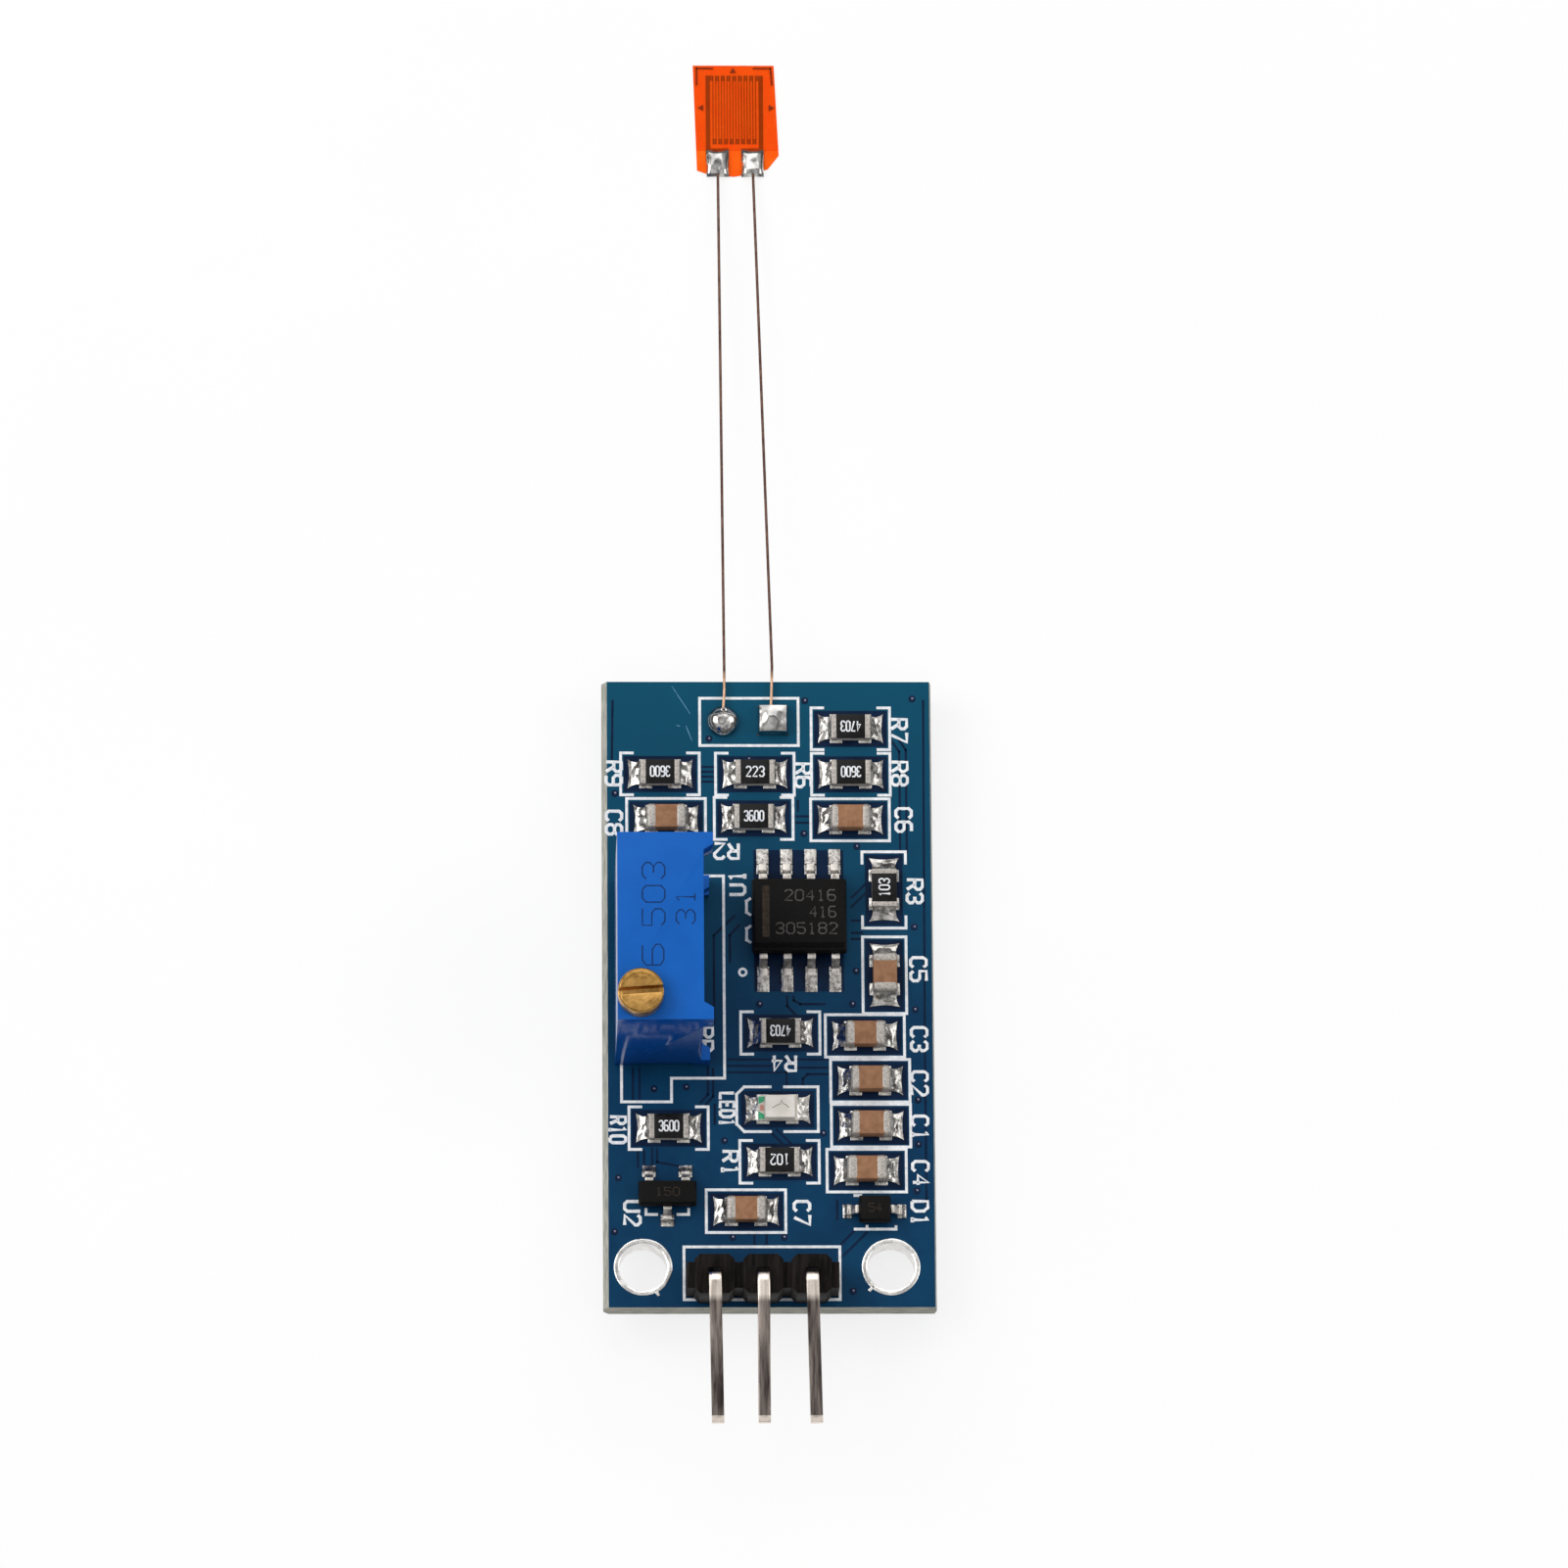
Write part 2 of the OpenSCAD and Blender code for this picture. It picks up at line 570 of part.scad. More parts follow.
module resistor_solder() {
    color(tin) {
        at_each(lying_resistors) chip_solder(resistor_h);
        at_each(standing_resistors, 90) chip_solder(resistor_h);
    }
}

module capacitor_solder() {
    color(tin) {
        at_each(lying_capacitors) chip_solder(capacitor_h);
        at_each(standing_capacitors, 90) chip_solder(capacitor_h);
    }
}

// Light emitting diode

module lamp_base() {
    color([0.75, 0.82, 0.76]) on_board(lamp_at) block([chip_l, chip_w, lamp_base_h], pad_t);
}

module lamp_lens() {
    color([0.93, 0.93, 0.9]) on_board(lamp_at) translate([lamp_lens_shift, 0, 0])
        moulded_body([lamp_lens_l, chip_w, lamp_lens_h], pad_t + lamp_base_h, 0.05);
}

module lamp_solder() {
    color(tin) on_board(lamp_at) chip_solder(lamp_base_h);
}

// Amplifier chip with eight formed leads

module amplifier_body() {
    peg = amp_h + amp_standoff;
    color(moulding_black) on_board(amp_at) difference() {
        moulded_body([amp_l, amp_w, amp_h], amp_standoff, 0.12);
        translate([0, -amp_w / 2 - 0.1, peg + 0.02]) rotate([-30, 0, 0])
            block([amp_l + 1, 2 * amp_bevel, amp_bevel], -0.16);
    }
}

module amp_each_lead() {
    for (side = [0, 1], i = [-1.5:1.5]) mirror([0, side, 0])
        translate([i * amp_pitch, 0, 0]) rotate([0, 0, 90]) children();
}

module amplifier_leads() {
    color(tin) on_board(amp_at) amp_each_lead()
        formed_lead(amp_w / 2, amp_span / 2, amp_standoff + amp_h / 2, amp_lead_w);
}

module amplifier_solder() {
    color(tin) on_board(amp_at) amp_each_lead()
        foot_solder(amp_span / 2 - 0.55, amp_span / 2, amp_pad_span / 2, 0.64);
}

// Regulator with three leads

module regulator_body() {
    color(moulding_black) on_board(reg_at)
        moulded_body([reg_l, reg_w, reg_h], small_standoff, 0.1);
}

module reg_each_lead() {
    for (i = [-0.5, 0.5]) translate([i * reg_pitch, 0, 0]) rotate([0, 0, 90]) children();
    rotate([0, 0, -90]) children();
}

module regulator_leads() {
    color(tin) on_board(reg_at) reg_each_lead()
        formed_lead(reg_w / 2, reg_span / 2, small_standoff + reg_h / 2, small_lead_w);
}

module regulator_solder() {
    color(tin) on_board(reg_at) reg_each_lead()
        foot_solder(reg_span / 2 - 0.3, reg_span / 2, reg_span / 2 + 0.35, 0.7);
}

// Small diode with two leads

module diode_body() {
    color(moulding_black) on_board(diode_at)
        moulded_body([diode_l, diode_w, diode_h], small_standoff, 0.1);
}

module diode_each_lead() {
    for (side = [0, 1]) mirror([side, 0, 0]) children();
}

module diode_leads() {
    color(tin) on_board(diode_at) diode_each_lead()
        formed_lead(diode_l / 2, diode_span / 2, small_standoff + diode_h / 2, small_lead_w);
}

module diode_solder() {
    color(tin) on_board(diode_at) diode_each_lead()
        foot_solder(diode_span / 2 - 0.25, diode_span / 2, diode_span / 2 + 0.22, 0.74);
}

// Trimmer: moulded housing, brass adjusting screw and three pins

// Plan of the two flanges, each with a slanted inner corner over the recess
module trimmer_ends() {
    wall = trim_w - trim_recess;
    slant = 0.6 * trim_recess;
    for (side = [0, 1]) mirror([0, side]) polygon([[0, -trim_l / 2], [trim_w, -trim_l / 2],
        [trim_w, -trim_l / 2 + trim_flange_l - slant], [wall, -trim_l / 2 + trim_flange_l],
        [0, -trim_l / 2 + trim_flange_l]]);
}

module trimmer_housing() {
    low_y = trim_at.y - trim_l / 2;
    left_x = trim_at.x - trim_w / 2;
    body_z = trim_base + trim_foot_h;
    body_h = trim_top - body_z;
    well_z = trim_top - screw_shank_l - screw_clearance;
    color(trim_blue) difference() {
        union() {
            translate([left_x, low_y, body_z]) cube([trim_w - trim_recess, trim_l, body_h]);
            for (z = [trim_top - trim_flange_h, body_z]) translate([left_x, trim_at.y, z])
                linear_extrude(z == body_z ? trim_stop_h : trim_flange_h) trimmer_ends();
            for (y = [low_y, low_y + trim_l - trim_foot_l], x = [left_x, left_x + trim_w - trim_foot_l])
                translate([x, y, trim_base]) cube([trim_foot_l, trim_foot_l, trim_foot_h]);
        }
        translate([screw_at.x, screw_at.y, well_z])
            cylinder(h = screw_shank_l + 1, d = screw_shank_d + 2 * screw_clearance);
    }
}

module trimmer_screw() {
    color(brass) difference() {
        union() {
            translate([screw_at.x, screw_at.y, trim_top - screw_shank_l])
                cylinder(h = screw_shank_l + screw_clearance, d = screw_shank_d);
            translate([screw_at.x, screw_at.y, trim_top + screw_clearance])
                cylinder(h = screw_head_h - 0.1, d = screw_head_d);
            translate([screw_at.x, screw_at.y, trim_top + screw_clearance + screw_head_h - 0.1])
                cylinder(h = 0.1, d1 = screw_head_d, d2 = screw_head_d - 0.2);
        }
        translate([screw_at.x, screw_at.y, trim_top + screw_clearance + screw_head_h - slot_depth])
            rotate([0, 0, 4]) block([screw_head_d + 1, slot_w, slot_depth + 1], 0);
    }
}

module trimmer_pins() {
    color(tin) for (p = trim_pin_places) translate([p.x, p.y, rest_z])
        cylinder(h = trim_base + trim_foot_h - rest_z, d = trim_pin_d);
}

module trimmer_solder() {
    color(tin) for (p = trim_pin_places) difference() {
        tail_solder(p, trim_drill_r, trim_pad_r, trim_pin_d / 2);
        translate([p.x, p.y, rest_z - 1]) cylinder(h = board_t - rest_z + 2, d = trim_pin_d);
    }
}

// Header: three moulded blocks in a strip, and three bent square pins

module header_block() {
    c = block_chamfer;
    x = block_w / 2;
    y = block_d / 2;
    linear_extrude(block_h) polygon([[-x + c, -y], [x - c, -y], [x, -y + c], [x, y - c],
        [x - c, y], [-x + c, y], [-x, y - c], [-x, -y + c]]);
}

module header_housing() {
    strip_l = 2 * header_pitch + block_w + 2 * stub_l;
    color(moulding_black) difference() {
        union() {
            for (p = header_pin_places) translate([p.x, p.y, header_base]) header_block();
            translate([header_x - strip_l / 2, -header_back - neck_d / 2, header_base])
                cube([strip_l, neck_d, block_h - 0.35]);
        }
        for (p = header_pin_places) translate([p.x, p.y, 0])
            block([pin_t, pin_t, header_top + 1], 0);
    }
}

// A square pin that rises through the block, bends and runs out past the board's edge
module header_pin(index) {
    place = header_pin_places[index];
    half = pin_t / 2;
    bend = pin_bend_r + half;
    run_l = pin_reach + hole_edge - header_back - bend - pin_tip_l;
    rise_top = pin_run_z - bend;
    color(tin) translate([place.x, place.y, 0]) {
        translate([0, 0, rest_z]) block([pin_t, pin_t, rise_top - rest_z], 0);
        translate([0, 0, rise_top]) rotate([0, 0, pin_splay[index]]) {
            translate([0, -bend, 0]) rotate([90, 0, 90]) rotate_extrude(angle = 90)
                translate([bend, 0]) square(pin_t, center = true);
            translate([-half, -bend - run_l, bend - half]) cube([pin_t, run_l, pin_t]);
            translate([-half, -bend - run_l, bend - half]) rotate([90, 0, 90]) linear_extrude(pin_t)
                polygon([[0, 0], [0, pin_t], [-pin_tip_l, pin_t * 0.75], [-pin_tip_l, pin_t * 0.25]]);
        }
    }
}

module header_pin_1() { header_pin(0); }
module header_pin_2() { header_pin(1); }
module header_pin_3() { header_pin(2); }

module header_solder() {
    color(tin) for (p = header_pin_places) difference() {
        tail_solder(p, drill_r, tail_pad_r, pin_t / 2 + 0.08);
        translate([p.x, p.y, rest_z - 1]) block([pin_t, pin_t, board_t - rest_z + 2], 0);
    }
}

// Terminals: the two solder joints that hold the leads

module terminal_solder_round() {
    blob_r = tail_pad_r;
    ball_r = (blob_r * blob_r + blob_h * blob_h) / (2 * blob_h);
    color(tin) difference() {
        union() {
            tail_solder(round_terminal_at, drill_r, tail_pad_r, terminal_tail_r, tail_l - pad_t);
            translate([round_terminal_at.x, round_terminal_at.y, board_t]) intersection() {
                translate([0, 0, blob_h - ball_r]) sphere(r = ball_r);
                cylinder(h = blob_h + 1, r = blob_r);
            }
        }
        bare_wire(left_route);
    }
}

module terminal_solder_square() {
    side = 2 * tail_pad_r - 0.12;
    ball_r = 1.35;
    color(tin) difference() {
        union() {
            tail_solder(square_terminal_at, drill_r, tail_pad_r, terminal_tail_r, tail_l - pad_t);
            translate([square_terminal_at.x, square_terminal_at.y, board_t]) intersection() {
                translate([0, 0, blob_h - ball_r]) sphere(r = ball_r);
                block([side, side, blob_h + 1], 0);
            }
        }
        bare_wire(right_route);
    }
}

module lead_left() { color([0.45, 0.28, 0.2]) bare_wire(left_route); }
module lead_right() { color([0.45, 0.28, 0.2]) bare_wire(right_route); }

// Gauge: backing film, etched foil with its grid and tabs, cover film and soldered tabs

module gauge_outline(near) {
    left = gauge_x - gauge_w / 2;
    right = gauge_x + gauge_w / 2;
    polygon([[left, gauge_far], [right, gauge_far], [right + gauge_flare, gauge_near + 1.2],
        [right + gauge_flare - 0.6, max(near, gauge_near + 0.42)], [gauge_x + 0.7, max(near, gauge_near + 0.12)],
        [gauge_x, max(near, gauge_near)], [gauge_x - 1.3, max(near, gauge_near + 0.1)],
        [left + 0.2, max(near, gauge_near + 0.35)]]);
}

module gauge_backing() {
    color(film_orange) translate([0, 0, rest_z]) linear_extrude(backing_t) gauge_outline(gauge_near);
}

module gauge_foil() {
    strand_gap = (grid_w - 2 * side_strand_w) / (grid_count - 1);
    strand_w = strand_gap * 0.42;
    loop_l = 0.3;
    grid_left = gauge_x + 0.05 - grid_w / 2;
    grid_right = grid_left + grid_w;
    first_x = grid_left + side_strand_w - strand_w / 2;
    side_l = grid_low + grid_l - tab_y;
    color([0.35, 0.12, 0.06]) translate([0, 0, foil_z]) linear_extrude(foil_t) {
        for (i = [1:grid_count - 2]) translate([first_x + i * strand_gap, grid_low])
            square([strand_w, grid_l]);
        for (i = [0:grid_count - 2])
            translate([first_x + i * strand_gap, i % 2 == 0 ? grid_low + grid_l - loop_l : grid_low])
                square([strand_gap + strand_w, loop_l]);
        for (x = [left_tab_x, right_tab_x]) translate([x - tab_w / 2, tab_y - tab_l / 2])
            square([tab_w, tab_l]);
        for (x = [grid_left, grid_right - side_strand_w]) translate([x, tab_y])
            square([side_strand_w, side_l]);
        translate([grid_left, tab_y]) square([left_tab_x - grid_left, 0.2]);
        translate([right_tab_x, tab_y]) square([grid_right - right_tab_x, 0.2]);
    }
}

module gauge_cover() {
    color(film_orange) translate([0, 0, cover_z]) linear_extrude(cover_t) intersection() {
        gauge_outline(gauge_near);
        translate([gauge_x - gauge_w, cover_edge]) square([2 * gauge_w, gauge_l]);
    }
}

module tab_solder(x, route) {
    crown_r = 2.2;
    solder_l = cover_edge - (tab_y - tab_l / 2) + tab_over;
    middle = cover_edge - solder_l / 2;
    color(tin) difference() {
        translate([x, middle, cover_z]) intersection() {
            block([tab_w, solder_l, tab_solder_h], 0);
            translate([-tab_w, 0, tab_solder_h - crown_r]) rotate([0, 90, 0]) cylinder(h = 2 * tab_w, r = crown_r);
        }
        bare_wire(route);
    }
}

module gauge_solder_left() { tab_solder(left_tab_x, left_route); }
module gauge_solder_right() { tab_solder(right_tab_x, right_route); }

circuit_board();
hole_plating();
printed_outlines();
resistor_r1();
resistor_r2();
resistor_r3();
resistor_r4();
resistor_r6();
resistor_r7();
resistor_r8();
resistor_r9();
resistor_r10();
capacitor_c1();
capacitor_c2();
capacitor_c3();
capacitor_c4();
capacitor_c5();
capacitor_c6();
capacitor_c7();
capacitor_c8();
resistor_solder();
capacitor_solder();
lamp_base();
lamp_lens();
lamp_solder();
amplifier_body();
amplifier_leads();
amplifier_solder();
regulator_body();
regulator_leads();
regulator_solder();
diode_body();
diode_leads();
diode_solder();
trimmer_housing();
trimmer_screw();
trimmer_pins();
trimmer_solder();
header_housing();
header_pin_1();
header_pin_2();
header_pin_3();
header_solder();
terminal_solder_round();
terminal_solder_square();
lead_left();
lead_right();
gauge_backing();
gauge_foil();
gauge_cover();
gauge_solder_left();
gauge_solder_right();
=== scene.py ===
# %% [markdown]
# # A strain gauge amplifier module
# A blue circuit board, as long as a finger joint, reads how far a thin foil gauge is stretched.
# The CAD model is opened first as a fixed frame, in metres. Every new piece takes its place from a
# node of it, stands for that node, and rides on the same body.

# %% Open the frame
import math
import bmesh
import bpy
from mathutils import Matrix, Vector, noise


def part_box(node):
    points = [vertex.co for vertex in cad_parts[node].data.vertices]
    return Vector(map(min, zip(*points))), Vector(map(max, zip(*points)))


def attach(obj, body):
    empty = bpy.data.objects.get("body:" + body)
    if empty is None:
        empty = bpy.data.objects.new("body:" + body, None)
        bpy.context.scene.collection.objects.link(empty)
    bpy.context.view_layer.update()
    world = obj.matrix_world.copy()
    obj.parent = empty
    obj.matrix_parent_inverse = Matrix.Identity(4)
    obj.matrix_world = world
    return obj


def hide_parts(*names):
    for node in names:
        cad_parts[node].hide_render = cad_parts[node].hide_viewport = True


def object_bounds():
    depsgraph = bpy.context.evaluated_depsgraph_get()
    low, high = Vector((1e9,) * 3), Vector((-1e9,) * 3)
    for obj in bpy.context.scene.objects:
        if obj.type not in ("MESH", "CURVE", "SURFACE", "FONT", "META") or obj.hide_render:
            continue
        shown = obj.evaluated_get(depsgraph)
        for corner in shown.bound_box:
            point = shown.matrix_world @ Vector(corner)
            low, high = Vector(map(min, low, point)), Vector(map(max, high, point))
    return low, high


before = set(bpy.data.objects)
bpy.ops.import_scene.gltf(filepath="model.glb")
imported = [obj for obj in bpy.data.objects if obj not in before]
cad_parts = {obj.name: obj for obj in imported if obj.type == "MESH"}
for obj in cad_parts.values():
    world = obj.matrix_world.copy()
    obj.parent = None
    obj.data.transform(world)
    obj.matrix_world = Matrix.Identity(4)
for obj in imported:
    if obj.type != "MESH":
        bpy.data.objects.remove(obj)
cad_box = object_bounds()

MM = 0.001

# %% [markdown]
# ## The camera
# The picture looks down on the board from its pin header end, 15 degrees off the upright. A long
# lens from 0.62 m away gives the picture's very weak perspective. The place comes from a fit of the
# board's corners, its holes and the foot and top of the trimmer.

# %% Camera
camera_place = Vector((-17.293, -134.43, 600.142)) * MM
camera_aim = Vector((1.073, 26.225, 1.6)) * MM
backwards = (camera_place - camera_aim).normalized()
upwards = Vector((-0.0005, 0.9658, 0.2592))
sideways = upwards.cross(backwards).normalized()
upwards = backwards.cross(sideways)
camera = bpy.data.objects.new("camera", bpy.data.cameras.new("camera"))
camera.data.lens = 268.5
camera.data.sensor_width = 36.0
camera.matrix_world = Matrix.Translation(camera_place) @ Matrix((sideways, upwards, backwards)).transposed().to_4x4()
bpy.context.scene.collection.objects.link(camera)
bpy.context.scene.camera = camera
bpy.context.scene.view_settings.view_transform = "Standard"
print("camera", round((camera_place - camera_aim).length, 3), "m away")

# %% [markdown]
# ## Finishes
# Real surfaces are never one colour. Each finish starts from two tones that a fine noise mixes, and
# the same noise changes its roughness and gives it a shallow relief. Patterns read Object
# coordinates, so they lie still on the piece.

# %% Colours and the shared recipe
def paint(red, green, blue):
    """A colour in screen values from 0 to 255, as the linear values that shaders use."""
    low = [c / 255 for c in (red, green, blue)]
    return tuple(c / 12.92 if c < 0.04 else ((c + 0.055) / 1.055) ** 2.4 for c in low) + (1.0,)


def node_of(mat, kind, **sockets):
    """Adds a shader node and sets some of its sockets by name."""
    made = mat.node_tree.nodes.new(kind)
    for socket, value in sockets.items():
        made.inputs[socket.replace("_", " ")].default_value = value
    return made


def spread(mat, source, low, high, from_low=0.35, from_high=0.65):
    """Stretches a pattern's value to the range low to high."""
    made = node_of(mat, "ShaderNodeMapRange", From_Min=from_low, From_Max=from_high, To_Min=low, To_Max=high)
    mat.node_tree.links.new(source, made.inputs["Value"])
    return made.outputs["Result"]


def blend_tones(mat, factor, tone_a, tone_b):
    """Mixes two tones by a factor. A tone is a colour or another node's output."""
    made = mat.node_tree.nodes.new("ShaderNodeMix")
    made.data_type = "RGBA"
    mat.node_tree.links.new(factor, made.inputs["Factor"])
    for socket, tone in (("A", tone_a), ("B", tone_b)):
        place = [s for s in made.inputs if s.name == socket and s.type == "RGBA"][0]
        if isinstance(tone, tuple):
            place.default_value = tone
        else:
            mat.node_tree.links.new(tone, place)
    return [s for s in made.outputs if s.type == "RGBA"][0]


def grained(name, tone_a, tone_b, grain, rough=(0.4, 0.6), relief=0.0, metal=0.0, gloss=0.5, stretch=(1, 1, 1)):
    """A finish of two tones mixed by noise whose grain is given in millimetres."""
    mat = bpy.data.materials.new(name)
    mat.use_nodes = True
    shader = mat.node_tree.nodes["Principled BSDF"]
    where = mat.node_tree.nodes.new("ShaderNodeTexCoord")
    speckle = node_of(mat, "ShaderNodeTexNoise", Scale=1000.0 / grain, Detail=3.0, Roughness=0.6)
    drawn_out = node_of(mat, "ShaderNodeMapping", Scale=stretch)
    mat.node_tree.links.new(where.outputs["Object"], drawn_out.inputs["Vector"])
    mat.node_tree.links.new(drawn_out.outputs["Vector"], speckle.inputs["Vector"])
    value = speckle.outputs["Fac"]
    mat.node_tree.links.new(blend_tones(mat, spread(mat, value, 0, 1), tone_a, tone_b), shader.inputs["Base Color"])
    mat.node_tree.links.new(spread(mat, value, *rough), shader.inputs["Roughness"])
    shader.inputs["Metallic"].default_value = metal
    shader.inputs["Specular IOR Level"].default_value = gloss
    if relief:
        bump = node_of(mat, "ShaderNodeBump", Distance=relief * MM, Strength=1.0)
        mat.node_tree.links.new(value, bump.inputs["Height"])
        mat.node_tree.links.new(bump.outputs["Normal"], shader.inputs["Normal"])
    return mat


def parts_of(mat):
    """The shader, the node tree and the pattern's Object coordinates of a finish."""
    nodes = mat.node_tree.nodes
    return nodes["Principled BSDF"], mat.node_tree, nodes["Texture Coordinate"].outputs["Object"]


tin_plate = grained("tin_plate", paint(170, 164, 158), paint(232, 226, 218), 0.3, (0.28, 0.5), 0.012, 1.0)
solder_metal = grained("solder_metal", paint(130, 127, 125), paint(224, 220, 214), 0.4, (0.13, 0.32), 0.04, 1.0)
joint_metal = grained("joint_metal", paint(132, 128, 126), paint(214, 210, 204), 0.22, (0.18, 0.36), 0.05, 1.0)
bead_metal = grained("bead_metal", paint(150, 148, 147), paint(216, 213, 209), 0.9, (0.1, 0.22), 0.016, 1.0)
ring_metal = grained("ring_metal", paint(206, 204, 202), paint(246, 244, 240), 0.5, (0.16, 0.34), 0.02, 1.0)
end_cap = grained("end_cap", paint(150, 144, 138), paint(204, 198, 190), 0.12, (0.4, 0.6), 0.01, 0.5)
ceramic_white = grained("ceramic_white", paint(176, 170, 160), paint(206, 200, 190), 0.2, (0.6, 0.8), 0.003)
black_glass = grained("black_glass", paint(6, 6, 7), paint(20, 18, 18), 0.3, (0.28, 0.45), 0.003, gloss=0.2)
cap_brown = grained("cap_brown", paint(138, 98, 70), paint(160, 118, 88), 0.5, (0.55, 0.7), 0.004, gloss=0.2)
moulding = grained("moulding", paint(9, 8, 8), paint(24, 22, 21), 0.09, (0.5, 0.7), 0.008, gloss=0.1)
header_black = grained("header_black", paint(6, 5, 5), paint(36, 31, 29), 0.22, (0.4, 0.55), 0.016, gloss=0.05, stretch=(1, 0.12, 1))
ink_white = grained("ink_white", paint(216, 220, 226), paint(246, 247, 248), 0.25, (0.6, 0.75), 0.006, gloss=0.2)
pale_print = grained("pale_print", paint(66, 64, 62), paint(98, 95, 91), 0.12, (0.6, 0.7), gloss=0.1)
stripe_print = grained("stripe_print", paint(44, 36, 30), paint(66, 56, 46), 0.2, (0.5, 0.6), gloss=0.1)
dark_print = grained("dark_print", paint(14, 44, 92), paint(26, 60, 112), 0.3, (0.6, 0.7), gloss=0.1)
navy_mask = grained("navy_mask", paint(4, 24, 50), paint(8, 34, 64), 1.2, (0.3, 0.42), 0.004, gloss=0.1)
via_plating_glint = grained("via_plating_glint", paint(96, 96, 130), paint(150, 146, 170), 0.1, (0.3, 0.4), 0.002, 0.4)
scratch_pale = grained("scratch_pale", paint(44, 100, 136), paint(96, 146, 172), 0.25, (0.5, 0.7), gloss=0.2)
lens_milk = grained("lens_milk", paint(218, 212, 202), paint(240, 234, 226), 0.9, (0.12, 0.25), 0.006, gloss=0.3)
lamp_white = grained("lamp_white", paint(206, 200, 188), paint(232, 226, 214), 0.3, (0.5, 0.7), 0.004)
lamp_green = grained("lamp_green", paint(40, 150, 104), paint(74, 190, 140), 0.3, (0.4, 0.6), 0.003)
lamp_pink = grained("lamp_pink", paint(200, 132, 118), paint(222, 160, 144), 0.3, (0.4, 0.6), 0.003)
mark_brown = grained("mark_brown", paint(118, 34, 2), paint(140, 44, 4), 0.2, (0.5, 0.6), 0.002, gloss=0.1)
film_orange = grained("film_orange", paint(255, 88, 0), paint(255, 104, 4), 1.4, (0.3, 0.42), 0.004, gloss=0.1)
print("finishes", len(bpy.data.materials))

# %% [markdown]
# ### Finishes that need their own pattern
# The board is a blue lacquer on its faces and bare glass fibre at its cut edges. The cover film is
# see-through, and the brass screw has the rings that turning leaves.

# %% Board, film, brass and wire
board_finish = grained("board_finish", paint(3, 50, 84), paint(6, 60, 94), 2.6, (0.32, 0.44), 0.003, gloss=0.1)
shader, tree, where = parts_of(board_finish)
split = tree.nodes.new("ShaderNodeSeparateXYZ")
tree.links.new(where, split.inputs["Vector"])
to_teal = spread(board_finish, split.outputs["Y"], 0.0, 0.8, 0.012, 0.033)
mask_tone = blend_tones(board_finish, to_teal, shader.inputs["Base Color"].links[0].from_socket, paint(6, 80, 104))
layers = node_of(board_finish, "ShaderNodeTexNoise", Scale=5000.0, Detail=2.0)
flat = node_of(board_finish, "ShaderNodeMapping")
flat.inputs["Scale"].default_value = (0.25, 0.25, 2.0)
tree.links.new(where, flat.inputs["Vector"])
tree.links.new(flat.outputs["Vector"], layers.inputs["Vector"])
edge_tone = blend_tones(board_finish, spread(board_finish, layers.outputs["Fac"], 0, 1), paint(146, 147, 139), paint(188, 187, 177))
faces = tree.nodes.new("ShaderNodeNewGeometry")
turned = tree.nodes.new("ShaderNodeSeparateXYZ")
tree.links.new(faces.outputs["Normal"], turned.inputs["Vector"])
upright = tree.nodes.new("ShaderNodeMath")
upright.operation = "ABSOLUTE"
tree.links.new(turned.outputs["Z"], upright.inputs[0])
on_face = spread(board_finish, upright.outputs["Value"], 0, 1, 0.85, 0.95)
tree.links.new(blend_tones(board_finish, on_face, edge_tone, mask_tone), shader.inputs["Base Color"])
tree.links.new(spread(board_finish, upright.outputs["Value"], 0.8, 0.36, 0.85, 0.95), shader.inputs["Roughness"])

cover_film = grained("cover_film", paint(250, 84, 0), paint(255, 94, 0), 1.0, (0.3, 0.45), 0.004, gloss=0.1)
cover_film.node_tree.nodes["Principled BSDF"].inputs["Alpha"].default_value = 0.3

pin_metal = grained("pin_metal", paint(72, 64, 62), paint(152, 141, 134), 0.26, (0.16, 0.34), 0.01, 1.0, stretch=(1, 0.08, 1))
shader, tree, where = parts_of(pin_metal)
split = tree.nodes.new("ShaderNodeSeparateXYZ")
tree.links.new(where, split.inputs["Vector"])
pin_end, pin_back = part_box("header_pin_2")[0][1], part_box("header_pin_2")[1][1]
old_tone = shader.inputs["Base Color"].links[0].from_socket
# Painted highlights: a pale band where each pin's bend turns up and another on its slanted tip stand in for lamp
# reflections.
bend_highlight_mask = spread(pin_metal, split.outputs["Y"], 0, 1, -0.0026, -0.0022)
tip_highlight_mask = spread(pin_metal, split.outputs["Y"], 1, 0, pin_end + 0.00034, pin_end + 0.00036)
for painted_highlight in (bend_highlight_mask, tip_highlight_mask):
    old_tone = blend_tones(pin_metal, painted_highlight, old_tone, paint(238, 226, 214))
# Painted shade: the back of each bend, high up against the strip, is painted near black for the dark it reflects there.
high_up = spread(pin_metal, split.outputs["Z"], 0, 1, 0.0030, 0.0031)
at_back = spread(pin_metal, split.outputs["Y"], 0, 1, pin_back - 0.0005, pin_back - 0.0004)
both = tree.nodes.new("ShaderNodeMath")
both.operation = "MULTIPLY"
tree.links.new(high_up, both.inputs[0])
tree.links.new(at_back, both.inputs[1])
old_tone = blend_tones(pin_metal, both.outputs[0], old_tone, paint(30, 27, 26))
tree.links.new(old_tone, shader.inputs["Base Color"])

